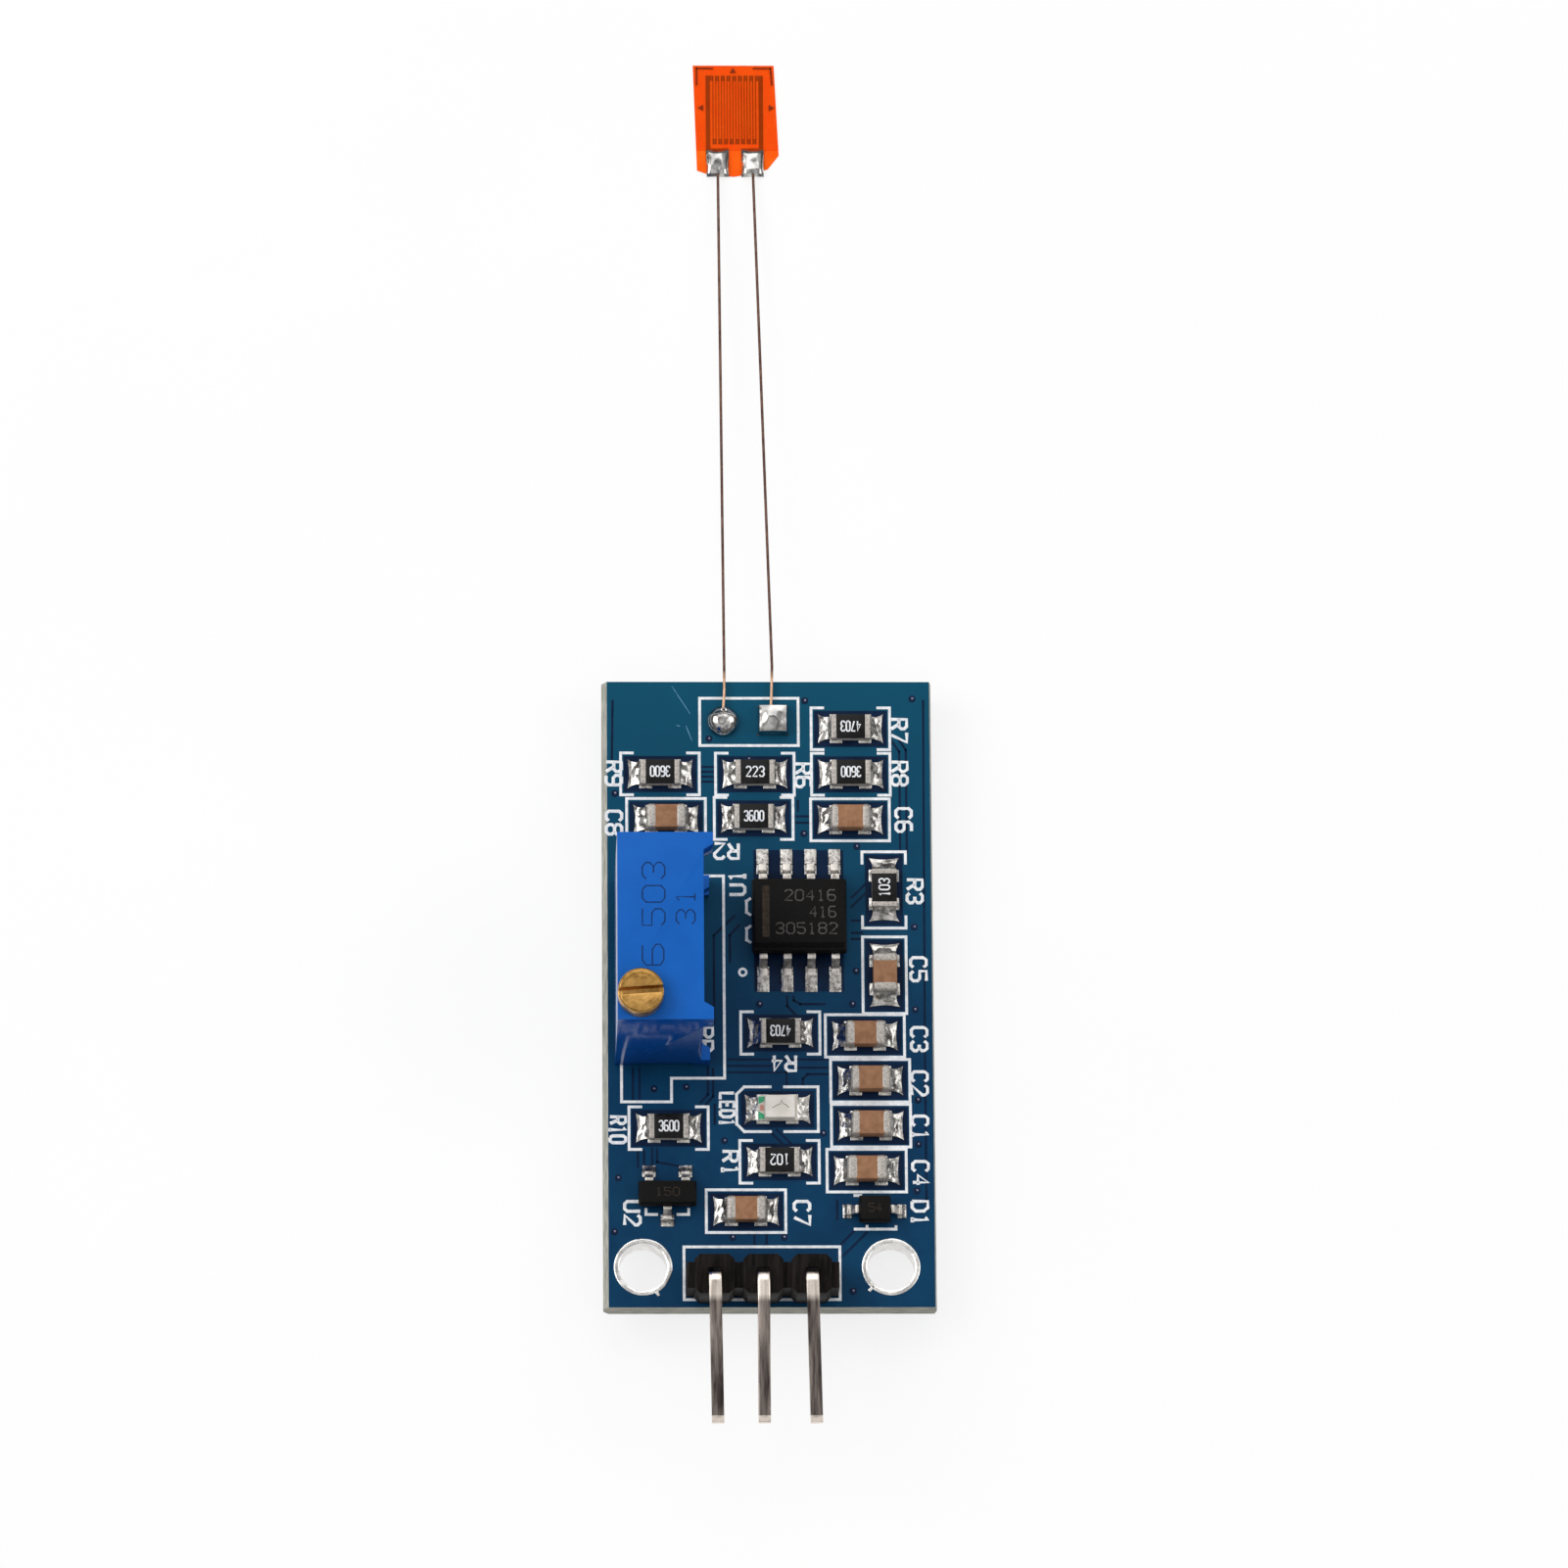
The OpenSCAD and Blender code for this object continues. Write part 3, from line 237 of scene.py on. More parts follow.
foil_brown = grained("foil_brown", paint(150, 52, 0), paint(170, 62, 2), 0.3, (0.4, 0.55), 0.003, gloss=0.1)
shader, tree, where = parts_of(foil_brown)
split = tree.nodes.new("ShaderNodeSeparateXYZ")
tree.links.new(where, split.inputs["Vector"])
foil_low, foil_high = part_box("gauge_foil")
old_tone = shader.inputs["Base Color"].links[0].from_socket
cover_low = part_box("gauge_cover")[0][1]
from_first = tree.nodes.new("ShaderNodeMath")
from_first.operation = "SUBTRACT"
from_first.inputs[1].default_value = foil_low[0] + 0.317 * MM
tree.links.new(split.outputs["X"], from_first.inputs[0])
comb = tree.nodes.new("ShaderNodeMath")
comb.operation = "PINGPONG"
comb.inputs[1].default_value = 0.077 * MM
tree.links.new(from_first.outputs[0], comb.inputs[0])
in_slot = spread(foil_brown, comb.outputs[0], 1, 0, 0.000014, 0.000022)
inner_tone = old_tone
for axis, side, wide in (("Y", foil_high[1], -0.31), ("Y", cover_low, 0.66), ("X", foil_low[0], 0.26), ("X", foil_high[0], -0.26)):
    reach = side + wide * MM
    below = wide > 0
    on_edge = spread(foil_brown, split.outputs[axis], below, not below, reach - 0.00001, reach + 0.00001)
    old_tone = blend_tones(foil_brown, on_edge, old_tone, paint(74, 26, 0))
    if axis == "Y":
        old_tone = blend_tones(foil_brown, in_slot, old_tone, inner_tone)
tree.links.new(old_tone, shader.inputs["Base Color"])

trimmer_blue = grained("trimmer_blue", paint(7, 91, 180), paint(10, 95, 186), 1.6, (0.4, 0.5), 0.003, gloss=0.16)
shader, tree, where = parts_of(trimmer_blue)
faces = tree.nodes.new("ShaderNodeNewGeometry")
turned = tree.nodes.new("ShaderNodeSeparateXYZ")
tree.links.new(faces.outputs["Normal"], turned.inputs["Vector"])
tree.links.new(spread(trimmer_blue, turned.outputs["Z"], 0.14, 0.46, 0.3, 0.9), shader.inputs["Roughness"])
# Painted shade: faces turned away from the top, the front above all, take a darker blue than the top.
top_tone = shader.inputs["Base Color"].links[0].from_socket
painted_side_shade = spread(trimmer_blue, turned.outputs["Z"], 0, 1, 0.3, 0.9)
tree.links.new(blend_tones(trimmer_blue, painted_side_shade, paint(5, 68, 148), top_tone), shader.inputs["Base Color"])

brass = grained("brass", paint(158, 118, 60), paint(206, 160, 92), 0.6, (0.26, 0.42), 0.012, 1.0)
shader, tree, where = parts_of(brass)
centre = node_of(brass, "ShaderNodeMapping")
centre.inputs["Location"].default_value = (0.00675, -0.01219, 0.0)
rings = node_of(brass, "ShaderNodeTexWave", Scale=1500.0, Distortion=0.6, Detail=1.0)
rings.wave_type = "RINGS"
rings.rings_direction = "Z"
tree.links.new(where, centre.inputs["Vector"])
tree.links.new(centre.outputs["Vector"], rings.inputs["Vector"])
turning = node_of(brass, "ShaderNodeBump", Distance=0.004 * MM, Strength=0.6)
tree.links.new(rings.outputs["Fac"], turning.inputs["Height"])
tree.links.new(turning.outputs["Normal"], shader.inputs["Normal"])

copper_wire = grained("copper_wire", paint(84, 58, 50), paint(120, 88, 74), 0.6, (0.22, 0.36), 0.004, 0.9)
shader, tree, where = parts_of(copper_wire)
split = tree.nodes.new("ShaderNodeSeparateXYZ")
tree.links.new(where, split.inputs["Vector"])
bright = spread(copper_wire, split.outputs["Y"], 1, 0, 0.0318, 0.0324)
old_tone = shader.inputs["Base Color"].links[0].from_socket
tree.links.new(blend_tones(copper_wire, bright, old_tone, paint(255, 206, 170)), shader.inputs["Base Color"])
print("finishes", len(bpy.data.materials))

# %% [markdown]
# ## Floor and light
# A white card lies just under the solder tails, and the card that the camera sees is lifted towards
# white with a soft shadow left in it. A large soft lamp stands to the left, weaker ones to the right and
# behind the gauge. The sky is dark where the camera stands and at its rim and bright between, so that
# flat metal shows dark and solder slopes show light.

# %% Floor, lamps and sky
floor_z = cad_box[0][2] - 0.00002
card = bmesh.new()
bmesh.ops.create_grid(card, x_segments=8, y_segments=8, size=1.5)
bmesh.ops.translate(card, vec=(0, 0.03, floor_z), verts=card.verts)
floor_mesh = bpy.data.meshes.new("floor")
card.to_mesh(floor_mesh)
card.free()
floor = bpy.data.objects.new("floor", floor_mesh)
bpy.context.scene.collection.objects.link(floor)
card_white = grained("card_white", paint(246, 246, 246), paint(250, 250, 250), 30.0, (0.9, 1.0), gloss=0.0)
tree = card_white.node_tree
seen = tree.nodes.new("ShaderNodeLightPath")
plain = node_of(card_white, "ShaderNodeEmission", Color=(1, 1, 1, 1), Strength=1.0)
mixed = tree.nodes.new("ShaderNodeMixShader")
ways = []
for ray in ("Is Glossy Ray", "Is Transmission Ray"):
    either = tree.nodes.new("ShaderNodeMath")
    either.operation = "MAXIMUM"
    tree.links.new(ways[-1] if ways else seen.outputs["Is Camera Ray"], either.inputs[0])
    tree.links.new(seen.outputs[ray], either.inputs[1])
    ways.append(either.outputs[0])
half = tree.nodes.new("ShaderNodeMath")
half.operation = "MULTIPLY"
half.inputs[1].default_value = 0.8
tree.links.new(ways[-1], half.inputs[0])
tree.links.new(half.outputs[0], mixed.inputs[0])
tree.links.new(tree.nodes["Principled BSDF"].outputs[0], mixed.inputs[1])
tree.links.new(plain.outputs[0], mixed.inputs[2])
tree.links.new(mixed.outputs[0], tree.nodes["Material Output"].inputs[0])
floor_mesh.materials.append(card_white)


def soft_lamp(name, place, aim, side, watts):
    """A square area lamp in metres that looks at a point."""
    data = bpy.data.lights.new(name, "AREA")
    data.size = side
    data.energy = watts
    lamp = bpy.data.objects.new(name, data)
    lamp.location = place
    lamp.rotation_euler = (Vector(aim) - Vector(place)).to_track_quat("-Z", "Y").to_euler()
    bpy.context.scene.collection.objects.link(lamp)
    return lamp


middle = (0.0, 0.022, 0.0)
soft_lamp("lamp_left", (-0.44, 0.14, 0.44), middle, 0.42, 1.7)
soft_lamp("lamp_right", (0.46, 0.06, 0.4), middle, 0.3, 0.55)
soft_lamp("lamp_behind", (0.0, 0.5, 0.5), middle, 0.45, 0.8)
world = bpy.data.worlds.new("sky")
bpy.context.scene.world = world
world.use_nodes = True
sky = world.node_tree.nodes["Background"]
heading = world.node_tree.nodes.new("ShaderNodeTexCoord")
height = world.node_tree.nodes.new("ShaderNodeSeparateXYZ")
world.node_tree.links.new(heading.outputs["Generated"], height.inputs["Vector"])
bands = world.node_tree.nodes.new("ShaderNodeValToRGB")
for place, grey in ((0.0, 0.12), (0.4, 0.2), (0.68, 0.76), (0.88, 0.82), (0.945, 0.26), (1.0, 0.22)):
    stop = bands.color_ramp.elements.new(place) if place not in (0.0, 1.0) else bands.color_ramp.elements[int(place)]
    stop.color = (grey, grey, grey, 1)
world.node_tree.links.new(height.outputs["Z"], bands.inputs["Fac"])
world.node_tree.links.new(bands.outputs["Color"], sky.inputs["Color"])
sky.inputs["Strength"].default_value = 1.0
print("floor at", round(floor_z * 1000, 3), "mm")

# %% [markdown]
# ## Tools of the bench
# Each piece is modelled in millimetres where it belongs, from small bodies that bmesh operators
# make, and is scaled to metres at the very end.

# %% Bodies and the last steps of a piece
def node_box(node):
    """A CAD node's low and high corners in millimetres."""
    low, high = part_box(node)
    return Vector(low) * 1000, Vector(high) * 1000


def block(size, centre, soft=0.0, steps=2, draft=0.0):
    """A block with softened edges. A draft draws its top in on all four sides."""
    bm = bmesh.new()
    bmesh.ops.create_cube(bm, size=1.0)
    bmesh.ops.scale(bm, vec=size, verts=bm.verts)
    for v in bm.verts:
        if draft and v.co.z > 0:
            v.co.x -= math.copysign(draft, v.co.x)
            v.co.y -= math.copysign(draft, v.co.y)
    if soft:
        bmesh.ops.bevel(bm, geom=bm.edges[:], offset=soft, segments=steps, profile=0.5,
                        affect="EDGES", material=-1, clamp_overlap=True)
    bmesh.ops.translate(bm, vec=centre, verts=bm.verts)
    return bm


def turned_body(profile, steps=24, place=(0, 0, 0)):
    """Spins a profile of (radius, height) pairs about Z."""
    bm = bmesh.new()
    chain = [bm.verts.new((r, 0, z)) for r, z in profile]
    edges = [bm.edges.new(pair) for pair in zip(chain, chain[1:])]
    bmesh.ops.spin(bm, geom=chain + edges, axis=(0, 0, 1), cent=(0, 0, 0), steps=steps,
                   angle=math.tau, use_merge=True, use_duplicate=False)
    bmesh.ops.remove_doubles(bm, verts=bm.verts, dist=1e-5)
    bmesh.ops.translate(bm, vec=place, verts=bm.verts)
    return bm


def put(bm, part, finish=None, place=None):
    """Moves a small body into the piece's own bmesh, with its finish's number."""
    if finish is not None:
        for face in part.faces:
            face.material_index = finish
    if place is not None:
        bmesh.ops.transform(part, matrix=place, verts=part.verts)
    scrap = bpy.data.meshes.new("scrap")
    part.to_mesh(scrap)
    part.free()
    bm.from_mesh(scrap)
    bpy.data.meshes.remove(scrap)


def make(name, bm, finishes, stands_for=(), body="module", crease=32):
    """Turns a bmesh in millimetres into a finished piece in metres and puts it on its body."""
    bmesh.ops.remove_doubles(bm, verts=bm.verts, dist=1e-5)
    bmesh.ops.recalc_face_normals(bm, faces=bm.faces)
    for edge in bm.edges:
        edge.smooth = edge.calc_face_angle(0) < math.radians(crease)
    for face in bm.faces:
        face.smooth = True
    bmesh.ops.scale(bm, vec=(MM, MM, MM), verts=bm.verts)
    mesh = bpy.data.meshes.new(name)
    bm.to_mesh(mesh)
    bm.free()
    for finish in finishes:
        mesh.materials.append(finish)
    piece = bpy.data.objects.new(name, mesh)
    bpy.context.scene.collection.objects.link(piece)
    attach(piece, body)
    if stands_for:
        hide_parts(*stands_for)
    return piece


def wear(node, finish):
    """Gives a CAD node that already has the right shape its finish."""
    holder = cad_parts[node]
    if not holder.material_slots:
        holder.data.materials.append(finish)
    for place in holder.material_slots:
        place.material = finish


def soften(node, name, finish, round_by, steps=2, body="module", corner=25):
    """A copy of a CAD node, merged and with its edges rounded, that stands for the node."""
    bm = bmesh.new()
    bm.from_mesh(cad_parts[node].data)
    bm.transform(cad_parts[node].matrix_world)
    bmesh.ops.scale(bm, vec=(1000, 1000, 1000), verts=bm.verts)
    bmesh.ops.remove_doubles(bm, verts=bm.verts, dist=1e-4)
    bmesh.ops.dissolve_limit(bm, angle_limit=math.radians(1), verts=bm.verts, edges=bm.edges)
    sharp = [e for e in bm.edges if e.calc_face_angle(0) > math.radians(corner)]
    bmesh.ops.bevel(bm, geom=sharp, offset=round_by, segments=steps, profile=0.5,
                    affect="EDGES", material=-1, clamp_overlap=True)
    return make(name, bm, [finish], (node,), body)


# %% [markdown]
# ## The board
# The board keeps its CAD shape. Under the lacquer the copper stands a hair above the bare glass, so
# the gaps between tracks look darker. They are laid on as hair-thin strips, with the darker fields
# round the chips and the small plated holes that join both sides.

# %% Board, tracks and small plated holes
board_low, board_high = node_box("circuit_board")
top_z = board_high.z
wear("circuit_board", board_finish)
wear("printed_outlines", ink_white)

# Each run has the points of its first gap, the number of gaps side by side and the step between them.
track_runs = [
    ([(6.8, 28.6), (7.2, 28.0), (7.2, 22.4)], 2, (0.35, 0.1)),
    ([(-3.3, 26.35), (-2.6, 26.35)], 4, (0, 0.27)),
    ([(1.7, 24.1), (2.35, 24.1)], 2, (0, 0.35)),
    ([(1.8, 24.75), (1.8, 25.3)], 1, (0, 0)),
    ([(5.6, 20.5), (4.6, 19.5)], 2, (0, 0.5)),
    ([(4.6, 17.75), (5.15, 17.75)], 2, (0, 0.33)),
    ([(4.6, 18.75), (5.15, 18.75)], 1, (0, 0)),
    ([(-1.6, 19.0), (-2.7, 17.95), (-2.7, 13.15)], 1, (0, 0)),
    ([(-1.35, 18.5), (-1.85, 17.95), (-1.85, 16.5)], 1, (0, 0)),
    ([(1.15, 14.6), (1.15, 14.1), (1.6, 13.6)], 1, (0, 0)),
    ([(1.5, 14.6), (1.5, 14.4), (1.85, 14.2), (3.15, 14.2)], 1, (0, 0)),
    ([(-2.0, 11.2), (3.3, 11.2)], 1, (0, 0)),
    ([(-2.0, 10.85), (0.3, 10.85)], 1, (0, 0)),
    ([(-2.0, 10.5), (1.1, 10.5), (1.1, 9.8)], 1, (0, 0)),
    ([(1.7, 10.75), (3.3, 10.75)], 1, (0, 0)),
    ([(1.95, 9.8), (1.95, 10.15), (2.2, 10.4), (3.25, 10.4)], 1, (0, 0)),
    ([(-7.0, 10.7), (-7.0, 9.0)], 2, (0.35, 0)),
    ([(-3.05, 10.8), (-3.05, 9.3), (-3.45, 8.85)], 2, (0.27, -0.1)),
    ([(-6.75, 6.25), (-6.75, 5.4)], 2, (0.32, 0)),
    ([(-6.0, 6.4), (-6.0, 5.45)], 1, (0, 0)),
    ([(-5.75, 6.35), (-5.75, 5.65), (-4.65, 5.45)], 1, (0, 0)),
    ([(-0.65, 1.75), (-0.65, 1.2)], 2, (0.63, 0)),
    ([(3.9, 1.25), (4.6, 1.95)], 1, (0, 0)),
    ([(4.0, 0.6), (5.25, 1.85)], 1, (0, 0)),
    ([(3.7, 3.55), (3.7, 2.55)], 1, (0, 0)),
    ([(-2.7, 8.75), (-2.7, 7.7)], 1, (0, 0)),
    ([(0.1, 7.4), (0.85, 6.65)], 2, (0.45, 0)),
    ([(8.5, 30.8), (8.4, 13.0), (8.4, 3.0)], 1, (0, 0)),
    ([(-8.0, 30.8), (-8.05, 27.6)], 1, (0, 0)),
]
small_holes = [
    (7.9, 30.9), (2.2, 30.8), (-7.9, 25.7), (2.1, 23.5), (4.9, 22.8), (7.9, 18.4), (4.8, 16.0), (4.6, 14.2),
    (-0.3, 14.2), (7.9, 13.9), (-5.9, 9.6), (-4.2, 9.7), (-2.2, 6.8), (3.0, 7.2), (8.0, 9.0), (8.0, 6.6),
    (7.9, 4.1), (-7.8, 4.8), (-8.0, 1.9), (-1.8, 1.6), (0.9, 1.6), (4.5, -1.3), (-2.9, 28.7), (-0.8, 27.6),
]


def strip(bm, start, end, width, thick, finish=0):
    """A hair-thin flat strip from one point to another on the board's top."""
    start, end = Vector(start), Vector(end)
    run = end - start
    body = block((run.length + width * 0.8, width, thick), (0, 0, thick / 2), thick * 0.3, 1)
    place = Matrix.Translation((*((start + end) / 2), top_z)) @ Matrix.Rotation(math.atan2(run.y, run.x), 4, "Z")
    put(bm, body, finish, place)


tracks = bmesh.new()
for run, count, step in track_runs:
    for i in range(count):
        route = [Vector(spot) + Vector(step) * i for spot in run]
        for start, end in zip(route, route[1:]):
            strip(tracks, start, end, 0.12, 0.005)
for start, end in (((-4.85, 31.6), (-3.9, 30.1)), ((-4.1, 29.4), (-3.8, 28.6)), ((-4.6, 29.45), (-4.45, 29.4))):
    strip(tracks, start, end, 0.05, 0.006, 1)
make("track_gaps", tracks, [navy_mask, scratch_pale])

holes = bmesh.new()
for x, y in small_holes:
    put(holes, turned_body([(0.0, 0.004), (0.08, 0.004), (0.12, 0.016), (0.16, 0.016), (0.2, 0.0)], 14, (x, y, top_z)), 0)
    # The pale dot set off each hole's middle is the plating under the lacquer with a painted highlight in it.
    put(holes, turned_body([(0.0, 0.012), (0.05, 0.009), (0.07, 0.002)], 8, (x + 0.03, y + 0.04, top_z)), 1)
make("plated_small_holes", holes, [navy_mask, via_plating_glint])
print("track runs", len(track_runs), "small holes", len(small_holes))

# %% [markdown]
# ## Place marks
# The white marks name each place: R for a resistor, C for a capacitor, U for a chip, D for a diode.
# Real ones are drawn with a pen of one width, so each sign here is a few strokes given as a thin
# round curve that is pressed flat.

# %% Strokes of the signs
strokes = {
    "0": ["1,0 3,0 4,1 4,5 3,6 1,6 0,5 0,1 1,0"], "1": ["1,5 2,6 2,0", "1,0 3,0"],
    "2": ["0,5 1,6 3,6 4,5 4,4 0,0 4,0"], "3": ["0,5 1,6 3,6 4,5 4,4 3,3 4,2 4,1 3,0 1,0 0,1", "1.5,3 3,3"],
    "4": ["3,0 3,6 0,2 4,2"], "5": ["4,6 0,6 0,3.5 3,3.5 4,2.6 4,1 3,0 1,0 0,1"],
    "6": ["3.8,6 1,6 0,5 0,1 1,0 3,0 4,1 4,2.2 3,3.2 0,3.2"], "7": ["0,6 4,6 1,0"],
    "8": ["1,3.2 0,4 0,5.2 1,6 3,6 4,5.2 4,4 3,3.2 1,3.2 0,2.2 0,1 1,0 3,0 4,1 4,2.2 3,3.2"],
    "9": ["0.2,0 3,0 4,1 4,5 3,6 1,6 0,5 0,3.8 1,2.8 4,2.8"],
    "R": ["0,0 0,6 3,6 4,5 4,3.9 3,3 0,3", "2,3 4,0"], "C": ["4,5 3,6 1,6 0,5 0,1 1,0 3,0 4,1"],
    "U": ["0,6 0,1 1,0 3,0 4,1 4,6"], "D": ["0,0 0,6 2.6,6 4,4.6 4,1.4 2.6,0 0,0"],
    "P": ["0,0 0,6 3,6 4,5 4,3.9 3,3 0,3"], "L": ["0,6 0,0 4,0"], "E": ["4,6 0,6 0,0 4,0", "0,3 3,3"],
}


def signs(text, tall, wide, pen, thick):
    """Signs in strokes of one pen width, centred, reading along X, in a flat box tall by wide mm."""
    data = bpy.data.curves.new("signs", "CURVE")
    data.dimensions = "3D"
    data.bevel_depth = pen / 2
    data.bevel_resolution = 1
    data.use_fill_caps = True
    advance = 5.6
    span = advance * len(text) - 1.6
    for i, sign in enumerate(text):
        for stroke in strokes.get(sign, ()):
            spots = [tuple(float(c) for c in spot.split(",")) for spot in stroke.split()]
            line = data.splines.new("POLY")
            line.points.add(len(spots) - 1)
            for point, (x, y) in zip(line.points, spots):
                point.co = ((x + advance * i - span / 2) / span * (wide - pen), (y - 3) / 6 * (tall - pen), 0, 1)
    holder = bpy.data.objects.new("signs", data)
    mesh = bpy.data.meshes.new_from_object(holder)
    bm = bmesh.new()
    bm.from_mesh(mesh)
    bpy.data.objects.remove(holder)
    bpy.data.curves.remove(data)
    bpy.data.meshes.remove(mesh)
    bmesh.ops.remove_doubles(bm, verts=bm.verts, dist=1e-5)
    bmesh.ops.scale(bm, vec=(1, 1, thick / pen * 2), verts=bm.verts)
    return bm


def lay(x, y, z, turn=0.0):
    """A place on a flat top, turned about Z by an angle in degrees."""
    return Matrix.Translation((x, y, z)) @ Matrix.Rotation(math.radians(turn), 4, "Z")


place_marks = {
    "R9": (-7.95, 26.8, -90), "C8": (-7.95, 24.1, -90), "R6": (2.1, 26.7, -90), "R7": (7.2, 29.15, -90),
    "R8": (7.2, 26.8, -90), "C6": (7.4, 24.25, -90), "R3": (7.95, 20.35, -90), "C5": (8.1, 16.1, -90),
    "C3": (8.1, 12.3, -90), "C2": (8.1, 9.9, -90), "C1": (8.1, 7.5, -90), "C4": (8.1, 5.05, -90),
    "D1": (8.05, 2.9, -90), "C7": (1.85, 2.9, -90), "LED1": (-2.05, 8.5, -90), "R1": (-1.9, 5.6, -90),
    "R10": (-7.8, 7.4, -90), "U2": (-7.05, 2.9, -90), "RP": (-3.2, 12.3, -90), "R2": (-2.0, 22.55, 180),
    "R4": (0.95, 11.0, 180), "U1": (-1.45, 20.8, 90),
}
mark_wide = {2: 1.44, 3: 1.58, 4: 1.94}
marks = bmesh.new()
for text, (x, y, turn) in place_marks.items():
    put(marks, signs(text, 1.0 if len(text) < 4 else 0.9, mark_wide[len(text)], 0.18, 0.016), 0, lay(x, y, top_z, turn))
make("place_marks", marks, [ink_white])
print("place marks", len(place_marks))

# %% [markdown]
# ## Mounting rings
# The two bolt holes are lined with copper that solder has coated. A profile turned about the hole's
# axis makes the lining and its two rings, with the rounded shoulder of set solder and a spur that
# ran out at the lower side.

# %% Rings
ring_low, ring_high = node_box("hole_plating")
ring_r = (ring_high.y - ring_low.y) / 2
hole_r = ring_r - 0.25
rings_bm = bmesh.new()
hole_x = (ring_high.x - ring_low.x) / 2 - ring_r
for x, spur_turn in ((-hole_x, -62), (hole_x, -132)):
    lining = [(hole_r, ring_low.z + 0.02), (hole_r + 0.06, ring_low.z), (ring_r, ring_low.z + 0.03), (ring_r, 0.0),
              (hole_r + 0.012, 0.0), (hole_r + 0.012, top_z), (ring_r, top_z), (ring_r, ring_high.z - 0.02),
              (ring_r - 0.05, ring_high.z), (hole_r + 0.08, ring_high.z), (hole_r, ring_high.z - 0.03)]
    put(rings_bm, turned_body(lining + lining[:1], 64, (x, 0, 0)), 0)
    spur = block((0.36, 0.16, ring_high.z - top_z), (ring_r + 0.05, 0, (ring_high.z + top_z) / 2), 0.02, 2)
    put(rings_bm, spur, 0, lay(x, 0, 0, spur_turn))
make("mounting_rings", rings_bm, [ring_metal], ("hole_plating",))
print("hole radius", round(hole_r, 2), "mm, ring radius", round(ring_r, 2), "mm")

# %% [markdown]
# ## Chip resistors
# A chip resistor is a white ceramic tile with a resistive film under black glass and a metal cap
# wrapped round each end. The film can't be seen. Tile, glass, caps and number make one piece.

# %% Resistors
resistor_numbers = {
    "r1": ("102", 180), "r2": ("3600", 0), "r3": ("103", 0), "r4": ("4703", 180), "r6": ("223", 0),
    "r7": ("4703", 180), "r8": ("3600", 180), "r9": ("3600", 180), "r10": ("3600", 0),
}


def upright_place(low, high):
    """The centre of a chip's foot and the turn that lays its length along its box."""
    turned = (high.y - low.y) > (high.x - low.x)
    return lay((low.x + high.x) / 2, (low.y + high.y) / 2, low.z, 90 if turned else 0), turned


cap_l = 0.3
for key, (number, turn) in resistor_numbers.items():
    low, high = node_box("resistor_" + key)
    place, turned = upright_place(low, high)
    size = high - low
    long, wide, tall = (size.y, size.x, size.z) if turned else tuple(size)
    bm = bmesh.new()
    put(bm, block((long - 0.12, wide - 0.03, tall - 0.07), (0, 0, (tall - 0.07) / 2 + 0.01), 0.02, 1), 0)
    put(bm, block((long - cap_l * 2 + 0.06, wide - 0.02, 0.08), (0, 0, tall - 0.05), 0.03, 2), 1)
    for side in (-1, 1):
        put(bm, block((cap_l, wide, tall - 0.015), (side * (long - cap_l) / 2, 0, (tall - 0.015) / 2), 0.06, 3), 2)
    put(bm, signs(number, 0.64, 1.12 if len(number) > 3 else 1.04, 0.1, 0.008), 3, lay(0, 0, tall - 0.012, turn))
    bmesh.ops.transform(bm, matrix=place, verts=bm.verts)
    make("chip_resistor_" + key, bm, [ceramic_white, black_glass, end_cap, ink_white], ("resistor_" + key,))
print("resistors", len(resistor_numbers))

# %% [markdown]
# ## Chip capacitors
# A chip capacitor is a fired brown ceramic block with thick metal caps dipped over its ends. The
# dipped caps bulge, so they get a wide round edge.

# %% Capacitors
capacitor_cap = {"c1": 0.5, "c2": 0.52, "c3": 0.56, "c4": 0.6, "c5": 0.54, "c6": 0.48, "c7": 0.56, "c8": 0.56}
for key, dipped in capacitor_cap.items():
    low, high = node_box("capacitor_" + key)
    place, turned = upright_place(low, high)
    size = high - low
    long, wide, tall = (size.y, size.x, size.z) if turned else tuple(size)
    bm = bmesh.new()
    put(bm, block((long - 0.2, wide - 0.08, tall - 0.06), (0, 0, tall / 2), 0.07, 2), 0)
    for side in (-1, 1):
        put(bm, block((dipped, wide, tall), (side * (long - dipped) / 2, 0, tall / 2), 0.19, 4), 1)
    bmesh.ops.transform(bm, matrix=place, verts=bm.verts)
    make("chip_capacitor_" + key, bm, [cap_brown, end_cap], ("capacitor_" + key,))
print("capacitors", len(capacitor_cap))

# %% [markdown]
# ## Solder under the chips
# Melted solder wets the metal land and climbs the cap, so it is high against the chip and runs down
# in a hollow curve. A finely divided block is drawn to that curve, with a little unevenness, which
# is what makes real joints sparkle.

# %% Solder joints of the chips
def fine_block(cuts=9):
    """A unit block divided finely enough to be drawn to another shape."""
    bm = bmesh.new()
    bmesh.ops.create_cube(bm, size=1.0)
    bmesh.ops.subdivide_edges(bm, edges=bm.edges[:], cuts=cuts, use_grid_fill=True)
    return bm


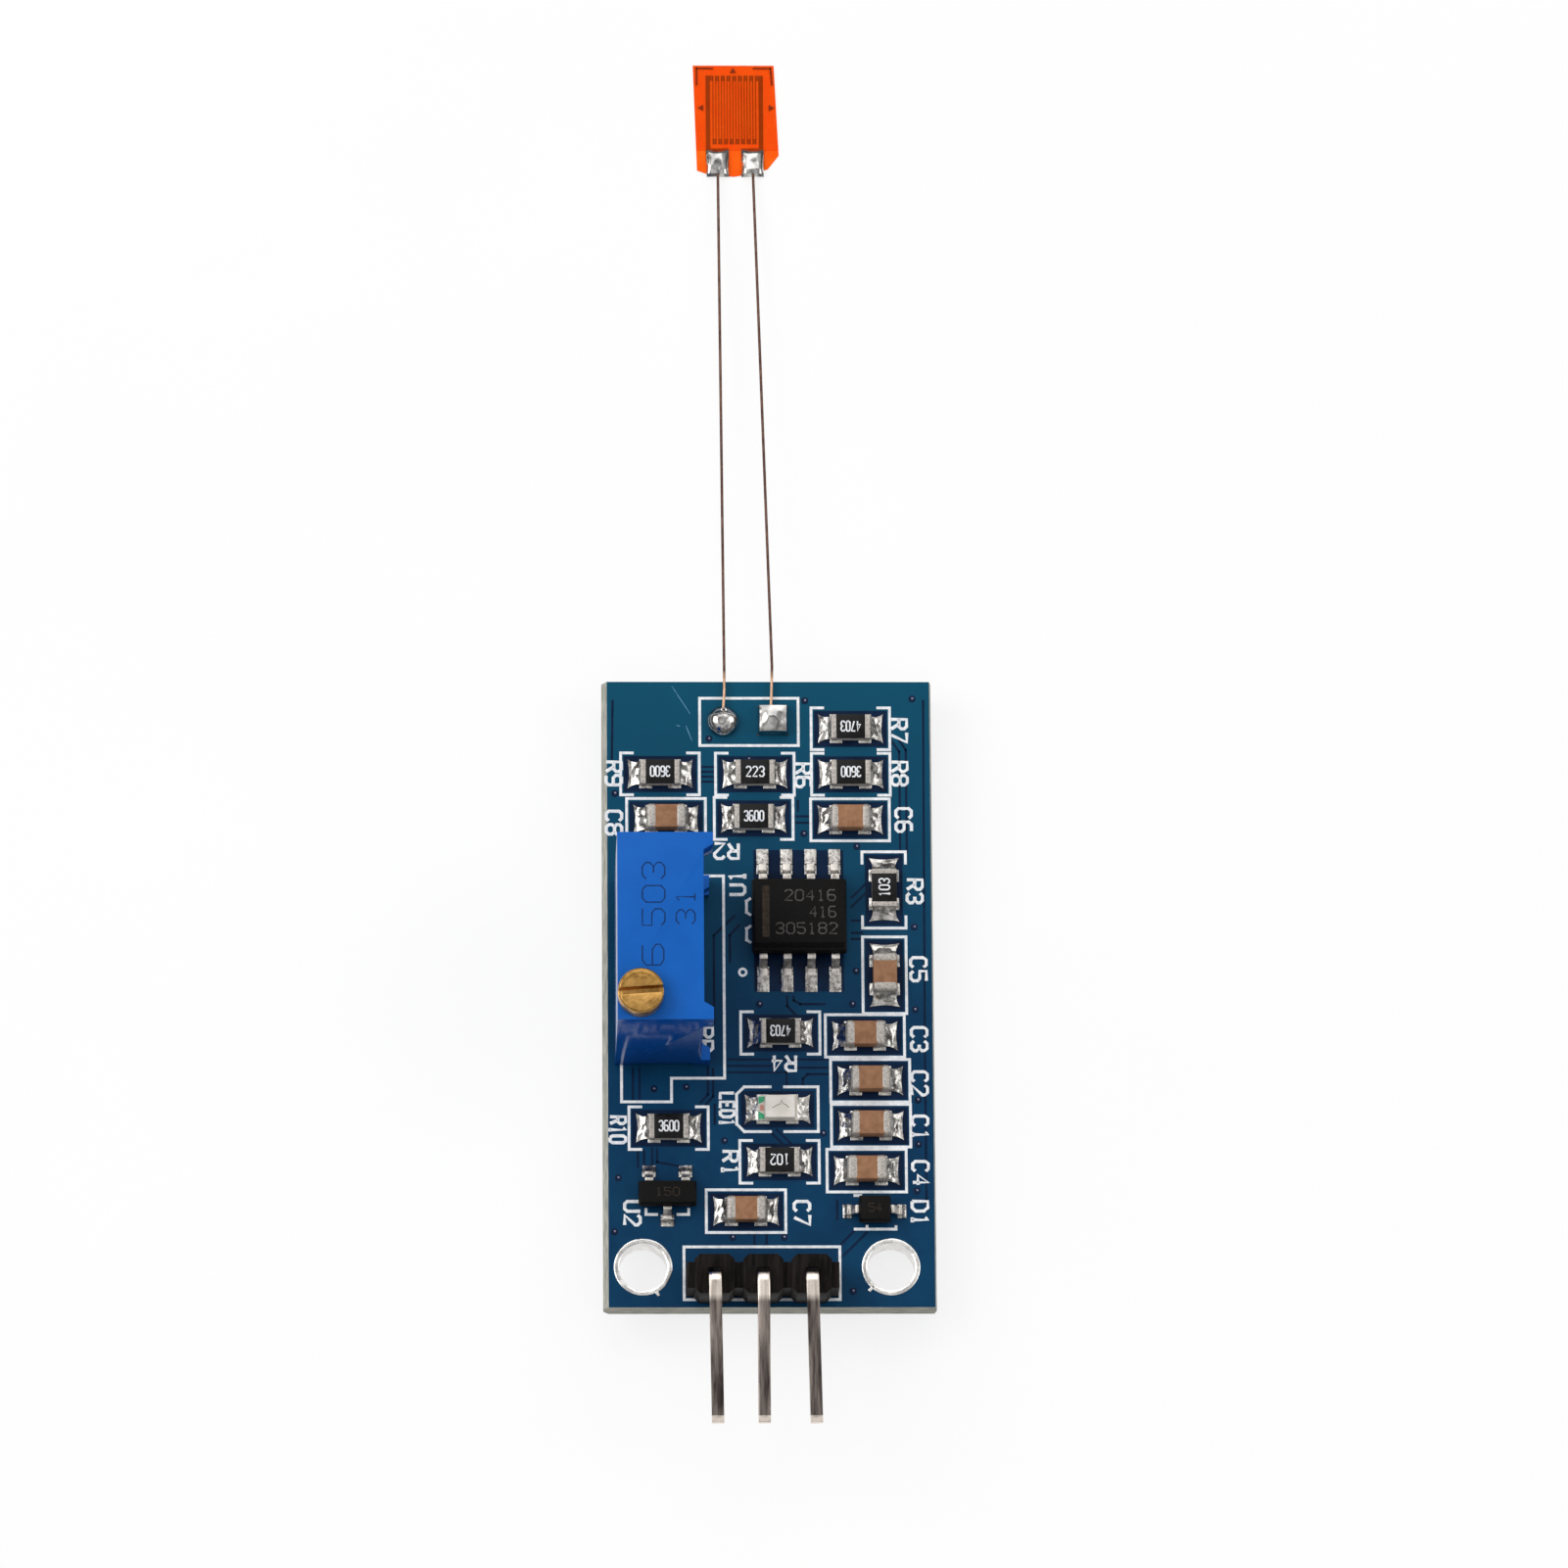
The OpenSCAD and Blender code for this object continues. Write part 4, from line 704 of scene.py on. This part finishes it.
def solder_patch(long, wide, tall, low, seed):
    """Set solder: high against the part at x = 0, running down to its land's far edge."""
    bm = fine_block()
    for v in bm.verts:
        along, across, up = v.co.x + 0.5, v.co.y * 2, v.co.z + 0.5
        wave = noise.noise(Vector((along * 2.2 + seed, across * 1.7 - seed, seed * 0.7)))
        ripple = noise.noise(Vector((along * 5.5 - seed, across * 4.5 + seed, seed * 1.3)))
        rim = (1 - abs(across) ** 5) * (1 - along ** 6)
        crest = low + (tall - low) * (1 - along) ** 1.9 * (1 - 0.4 * across * across)
        crest = max(low, crest + (wave * 0.13 + ripple * 0.06) * rim * min(1, along * 4))
        side = across * wide / 2 * (0.81 - 0.31 * along + 0.5 * along * along)
        v.co = Vector((along * long * (1 - 0.12 * along * (1 - across * across)), side, up * crest))
    return bm


def chip_joints(nodes, seed, climb):
    """The joints at both ends of each chip, with the lands below them."""
    bm = bmesh.new()
    for i, node in enumerate(nodes):
        low, high = node_box(node)
        place, turned = upright_place(low, high)
        size = high - low
        long, wide, tall = (size.y, size.x, size.z) if turned else tuple(size)
        at = place @ Matrix.Translation((0, 0, top_z - low.z))
        for side in (0, 180):
            reach = land_reach - long / 2 + 0.03
            joint = solder_patch(reach, land_wide, (tall + low.z - top_z) * climb, low.z - top_z, seed + i * 3.1 + side)
            put(bm, joint, 0, at @ Matrix.Rotation(math.radians(side), 4, "Z") @ Matrix.Translation((long / 2 - 0.03, 0, 0)))
            land = block((0.66, land_wide, low.z - top_z), (long / 2 - 0.27, 0, (low.z - top_z) / 2), 0.05, 2)
            put(bm, land, 0, at @ Matrix.Rotation(math.radians(side), 4, "Z"))
    return bm


land_reach, land_wide = 1.73, 1.6
resistor_nodes = ["resistor_" + key for key in resistor_numbers]
capacitor_nodes = ["capacitor_" + key for key in capacitor_cap]
make("resistor_joints", chip_joints(resistor_nodes, 1.0, 0.75), [solder_metal], ("resistor_solder",))
make("capacitor_joints", chip_joints(capacitor_nodes, 7.0, 0.5), [solder_metal], ("capacitor_solder",))
make("lamp_joints", chip_joints(["lamp_base"], 11.0, 0.6), [solder_metal], ("lamp_solder",))

fields = bmesh.new()
for node in resistor_nodes + capacitor_nodes + ["lamp_base"]:
    low, high = node_box(node)
    place, turned = upright_place(low, high)
    at = place @ Matrix.Translation((0, 0, top_z - low.z))
    put(fields, block((3.86, 1.98, 0.008), (0, 0, 0.004), 0.003, 1), 0, at)
low, high = node_box("amplifier_leads")
put(fields, block((high.x - low.x + 0.5, 7.7, 0.008), ((low.x + high.x) / 2, (low.y + high.y) / 2, top_z + 0.004), 0.003, 1), 0)
make("clear_fields", fields, [navy_mask])

# %% [markdown]
# ## Chips with formed leads
# The amplifier, the regulator and the diode are black resin pressed round a stamped metal frame.
# Their bodies keep the CAD shape and get softly rounded edges; their leads get the small radius
# that stamping leaves.

# %% Chip bodies and leads
soften("amplifier_body", "amplifier_case", moulding, 0.06)
soften("regulator_body", "regulator_case", moulding, 0.05)
soften("diode_body", "diode_case", moulding, 0.05)
for node in ("amplifier", "regulator", "diode"):
    soften(node + "_leads", node + "_formed_leads", tin_plate, 0.035, 2)
    soften(node + "_solder", node + "_joints", joint_metal, 0.05, 2)
for node in ("trimmer_solder", "header_solder"):
    wear(node, solder_metal)

amp_low, amp_high = node_box("amplifier_body")
amp_x, amp_y = (amp_low.x + amp_high.x) / 2, (amp_low.y + amp_high.y) / 2
numbers = bmesh.new()
for text, dx, dy, wide in (("20416", 0.56, 0.98, 2.75), ("416", 1.22, 0.08, 1.45), ("305182", 0.36, -0.82, 3.3)):
    put(numbers, signs(text, 0.66, wide, 0.085, 0.006), 0, lay(amp_x + dx, amp_y + dy, amp_high.z - 0.001))
put(numbers, block((0.38, 2.8, 0.006), (amp_low.x + 0.72, amp_y + 0.1, amp_high.z), 0.002, 1), 1)
make("amplifier_numbers", numbers, [pale_print, stripe_print])
for node, text, tall, wide in (("diode_body", "54", 0.5, 0.72), ("regulator_body", "150", 0.5, 1.3)):
    low, high = node_box(node)
    numbers = bmesh.new()
    put(numbers, signs(text, tall, wide, 0.07, 0.005), 0, lay((low.x + high.x) / 2, (low.y + high.y) / 2, high.z - 0.002))
    make(node.split("_")[0] + "_numbers", numbers, [stripe_print])
print("amplifier top at", round(amp_high.z, 2), "mm")

# %% [markdown]
# ## Signal lamp
# A white base carries a block of milky resin over the chip. The base's end shows green metal at two
# corners, and a hair of a bond wire lies in the resin.

# %% Lamp
soften("lamp_lens", "lamp_clear_block", lens_milk, 0.06, 3)
soften("lamp_base", "lamp_carrier", lamp_white, 0.03)
lens_low, lens_high = node_box("lamp_lens")
base_low, base_high = node_box("lamp_base")
print("lamp block", [round(c, 2) for c in (*lens_low, *lens_high)], "base", [round(c, 2) for c in (*base_low, *base_high)])
middle_y = (base_low.y + base_high.y) / 2
ends = bmesh.new()
for side in (-1, 1):
    corner = block((0.34, 0.42, 0.02), (lens_low.x - 0.13, middle_y + side * (base_high.y - base_low.y - 0.5) / 2, base_high.z - 0.002), 0.004, 1)
    for v in corner.verts:
        if (v.co.y - middle_y) * side < (base_high.y - base_low.y) / 2 - 0.3 and v.co.x > lens_low.x - 0.13:
            v.co.y += side * 0.2
    put(ends, corner, 0)
put(ends, block((0.2, 0.34, 0.018), (lens_low.x - 0.12, middle_y, base_high.z - 0.003), 0.004, 1), 1)
make("lamp_end_marks", ends, [lamp_green, lamp_pink])
hair = bpy.data.curves.new("hair", "CURVE")
hair.dimensions = "3D"
hair.bevel_depth = 0.022
hair.bevel_resolution = 1
hair.use_fill_caps = True
trail = hair.splines.new("POLY")
route = [(-0.42, -0.12), (-0.2, 0.02), (0.02, 0.1), (0.06, 0.34), (0.16, 0.12), (0.3, 0.06), (0.46, -0.1)]
trail.points.add(len(route) - 1)
for point, (x, y) in zip(trail.points, route):
    point.co = ((lens_low.x + lens_high.x) / 2 + x, middle_y + y, lens_high.z - 0.012, 1)
holder = bpy.data.objects.new("hair", hair)
drawn = bmesh.new()
drawn.from_mesh(bpy.data.meshes.new_from_object(holder))
bpy.data.objects.remove(holder)
make("lamp_bond_wire", drawn, [stripe_print])

# %% [markdown]
# ## Trimmer
# The trimmer is a blue moulded box over a screw-driven wiper. The brass screw turns on its own, so
# it rides on its own body and keeps its slot at every angle.

# %% Trimmer
soften("trimmer_housing", "trimmer_case", trimmer_blue, 0.12, 3)
soften("trimmer_screw", "brass_screw", brass, 0.07, 2, "adjusting_screw", 40)
wear("trimmer_pins", tin_plate)
case_low, case_high = node_box("trimmer_housing")
numbers = bmesh.new()
put(numbers, signs("503", 1.26, 3.47, 0.09, 0.008), 0, lay(-6.06, 17.6, case_high.z - 0.001, 90))
put(numbers, signs("6", 1.2, 1.2, 0.09, 0.008), 0, lay(-6.1, 14.34, case_high.z - 0.001, 90))
put(numbers, signs("31", 1.06, 1.95, 0.09, 0.008), 0, lay(-4.4, 16.9, case_high.z - 0.001, 90))
make("trimmer_numbers", numbers, [dark_print])
print("trimmer top at", round(case_high.z, 2), "mm")

# %% [markdown]
# ## Pin header
# Three square pins stand in a moulded strip and are bent down over the board's end.

# %% Header
soften("header_housing", "header_strip", header_black, 0.05)
for i in (1, 2, 3):
    soften("header_pin_%d" % i, "header_pin_bent_%d" % i, pin_metal, 0.05)
print("header set")

# %% [markdown]
# ## Terminals
# Each lead ends in a bead of solder over a plated hole. On a round pad the bead sets as a dome, on a
# square one as a cushion with a face to each side. The solder fills the hole and stands out below.

# %% Terminals
def tail_profile(node):
    """The turned part below the board's top: filled hole, lower pad and the short tail."""
    low, high = node_box(node)
    radius = (high.x - low.x) / 2
    return low, high, radius, [(0.0, low.z), (0.2, low.z), (0.25, low.z + 0.04), (0.32, low.z * 0.45),
                               (radius * 0.62, low.z * 0.12), (radius * 0.97, -0.01), (radius * 0.97, 0.0), (0.5, 0.0), (0.5, top_z)]


low, high, radius, profile = tail_profile("terminal_solder_round")
dome = [(radius * math.cos(a) ** 0.8, top_z + (high.z - top_z) * math.sin(a) ** 0.9) for a in [i * math.pi / 36 for i in range(18)]]
bead = turned_body(profile + dome + [(0.0, high.z)], 40, ((low.x + high.x) / 2, (low.y + high.y) / 2, 0))
middle_x, middle_y = (low.x + high.x) / 2, (low.y + high.y) / 2
for v in bead.verts:
    over = v.co.z - top_z
    if over > 0.02:
        dx, dy = (v.co.x - middle_x) / radius, (v.co.y - middle_y) / radius
        rough_part = max(0.0, min(1.0, (dx - dy) * 0.9 - 0.25))
        wave = noise.noise(Vector((dx * 5, dy * 5, 2.0))) * 0.26 * rough_part + noise.noise(Vector((dx * 1.3, dy * 1.3, 8.0))) * 0.04
        v.co.z = top_z + min(high.z - top_z, over * (1 - 0.73 * max(0, dy - 0.25) / 0.75) * (1 + wave - 0.1 * rough_part))
bm = bmesh.new()
put(bm, bead, 0)
put(bm, turned_body([(0.09, 0.0), (0.18, 0.0), (0.19, 0.05), (0.15, 0.09), (0.1, 0.07), (0.09, 0.0)], 18,
                    (middle_x + 0.04, middle_y + 0.5, top_z + 0.35)), 0)
put(bm, turned_body([(0.0, 0.0), (0.095, 0.0), (0.08, 0.03), (0.0, 0.04)], 12, (middle_x + 0.04, middle_y + 0.5, top_z + 0.38)), 1)
make("terminal_round", bm, [bead_metal, stripe_print], ("terminal_solder_round",))

low, high, radius, profile = tail_profile("terminal_solder_square")
middle_x, middle_y = (low.x + high.x) / 2, (low.y + high.y) / 2
cushion = fine_block(15)
half_side, tall = min(radius, (high.y - low.y) / 2) - 0.02, high.z - top_z
for v in cushion.verts:
    u, w, up = v.co.x * 2, v.co.y * 2, v.co.z + 0.5
    ridge = (abs(u) ** 3 + abs(w) ** 3) ** (1 / 3)
    crest = tall * (0.97 - 0.2 * ridge ** 1.6) + noise.noise(Vector((u * 2.1, w * 2.1, 5.0))) * 0.07 * (1 - u * u) * (1 - w * w)
    crest *= min(1, (1 - max(abs(u), abs(w))) / 0.12) ** 0.5
    pull = 0.97 + 0.03 * (u * w) ** 2
    v.co = Vector((u * half_side * pull, w * half_side * pull, up * max(0.05, min(tall, crest))))
bm = bmesh.new()
put(bm, cushion, 0, lay(middle_x, middle_y, top_z))
put(bm, turned_body(profile + [(0.0, top_z)], 32, (middle_x, middle_y, 0)), 0)
make("terminal_square", bm, [bead_metal], ("terminal_solder_square",))
print("terminals", round(tall, 2), "mm high")

# %% [markdown]
# ## Leads and gauge
# The gauge is a foil etched to a folded grid between two plastic films. It is bonded to what is to be
# measured, and a stretched grid has more resistance. Two tabs carry cushions of solder where the bare
# leads leave. The brown corner lines and arrows on the film help to lay it straight.

# %% Leads, films, foil and tab solder
wear("lead_left", copper_wire)
wear("lead_right", copper_wire)
wear("gauge_backing", film_orange)
wear("gauge_foil", foil_brown)
wear("gauge_cover", cover_film)

for side, key in enumerate(("left", "right")):
    low, high = node_box("gauge_solder_" + key)
    size = high - low
    pillow = fine_block(11)
    for v in pillow.verts:
        u, w, up = v.co.x * 2, v.co.y * 2, v.co.z + 0.5
        edge = max(0, 1 - abs(u) ** 4) ** 0.6 * max(0, 1 - abs(w) ** 5) ** 0.6
        dent = 0.35 * noise.noise(Vector((u * 1.1 + side * 7, w * 0.9, 3.0))) - 0.14 * max(0, u) ** 1.5
        crest = (0.22 + 0.6 * edge * (0.9 + dent)) * (1 - 0.22 * w)
        v.co = Vector((u * size.x / 2, w * size.y / 2 * (1 - 0.03 * (1 - u * u)), up * size.z * min(1, max(0.1, crest))))
    bm = bmesh.new()
    put(bm, pillow, 0, lay((low.x + high.x) / 2, (low.y + high.y) / 2, low.z))
    make("gauge_tab_" + key, bm, [bead_metal], ("gauge_solder_" + key,))

film_low, film_high = node_box("gauge_cover")
guide = bmesh.new()


def guide_bar(start, end, width=0.09):
    """A thin brown line on the cover film between two points in millimetres from its top left corner."""
    start, end = Vector(start), Vector(end)
    run = end - start
    spot = (start + end) / 2
    body = block((run.length + width, width, 0.008), (0, 0, 0), 0.002, 1)
    put(guide, body, 0, lay(film_low.x + spot.x, film_high.y + spot.y, film_high.z + 0.001, math.degrees(math.atan2(run.y, run.x))))


for path in ([(1.05, -0.17), (0.2, -0.17), (0.2, -1.1)], [(3.3, -0.17), (4.2, -0.17), (4.27, -1.1)]):
    for start, end in zip(path, path[1:]):
        guide_bar(start, end)
for x, y, turn in ((2.17, -0.33, 90), (0.45, -2.42, 180), (4.2, -2.42, 0)):
    arrow = turned_body([(0.0, 0.0), (0.2, 0.0), (0.2, 0.008), (0.0, 0.008)], 3)
    put(guide, arrow, 0, lay(film_low.x + x, film_high.y + y, film_high.z - 0.002, turn))
make("gauge_guide_lines", guide, [mark_brown])
print("gauge", round(film_high.x - film_low.x, 2), "mm wide")
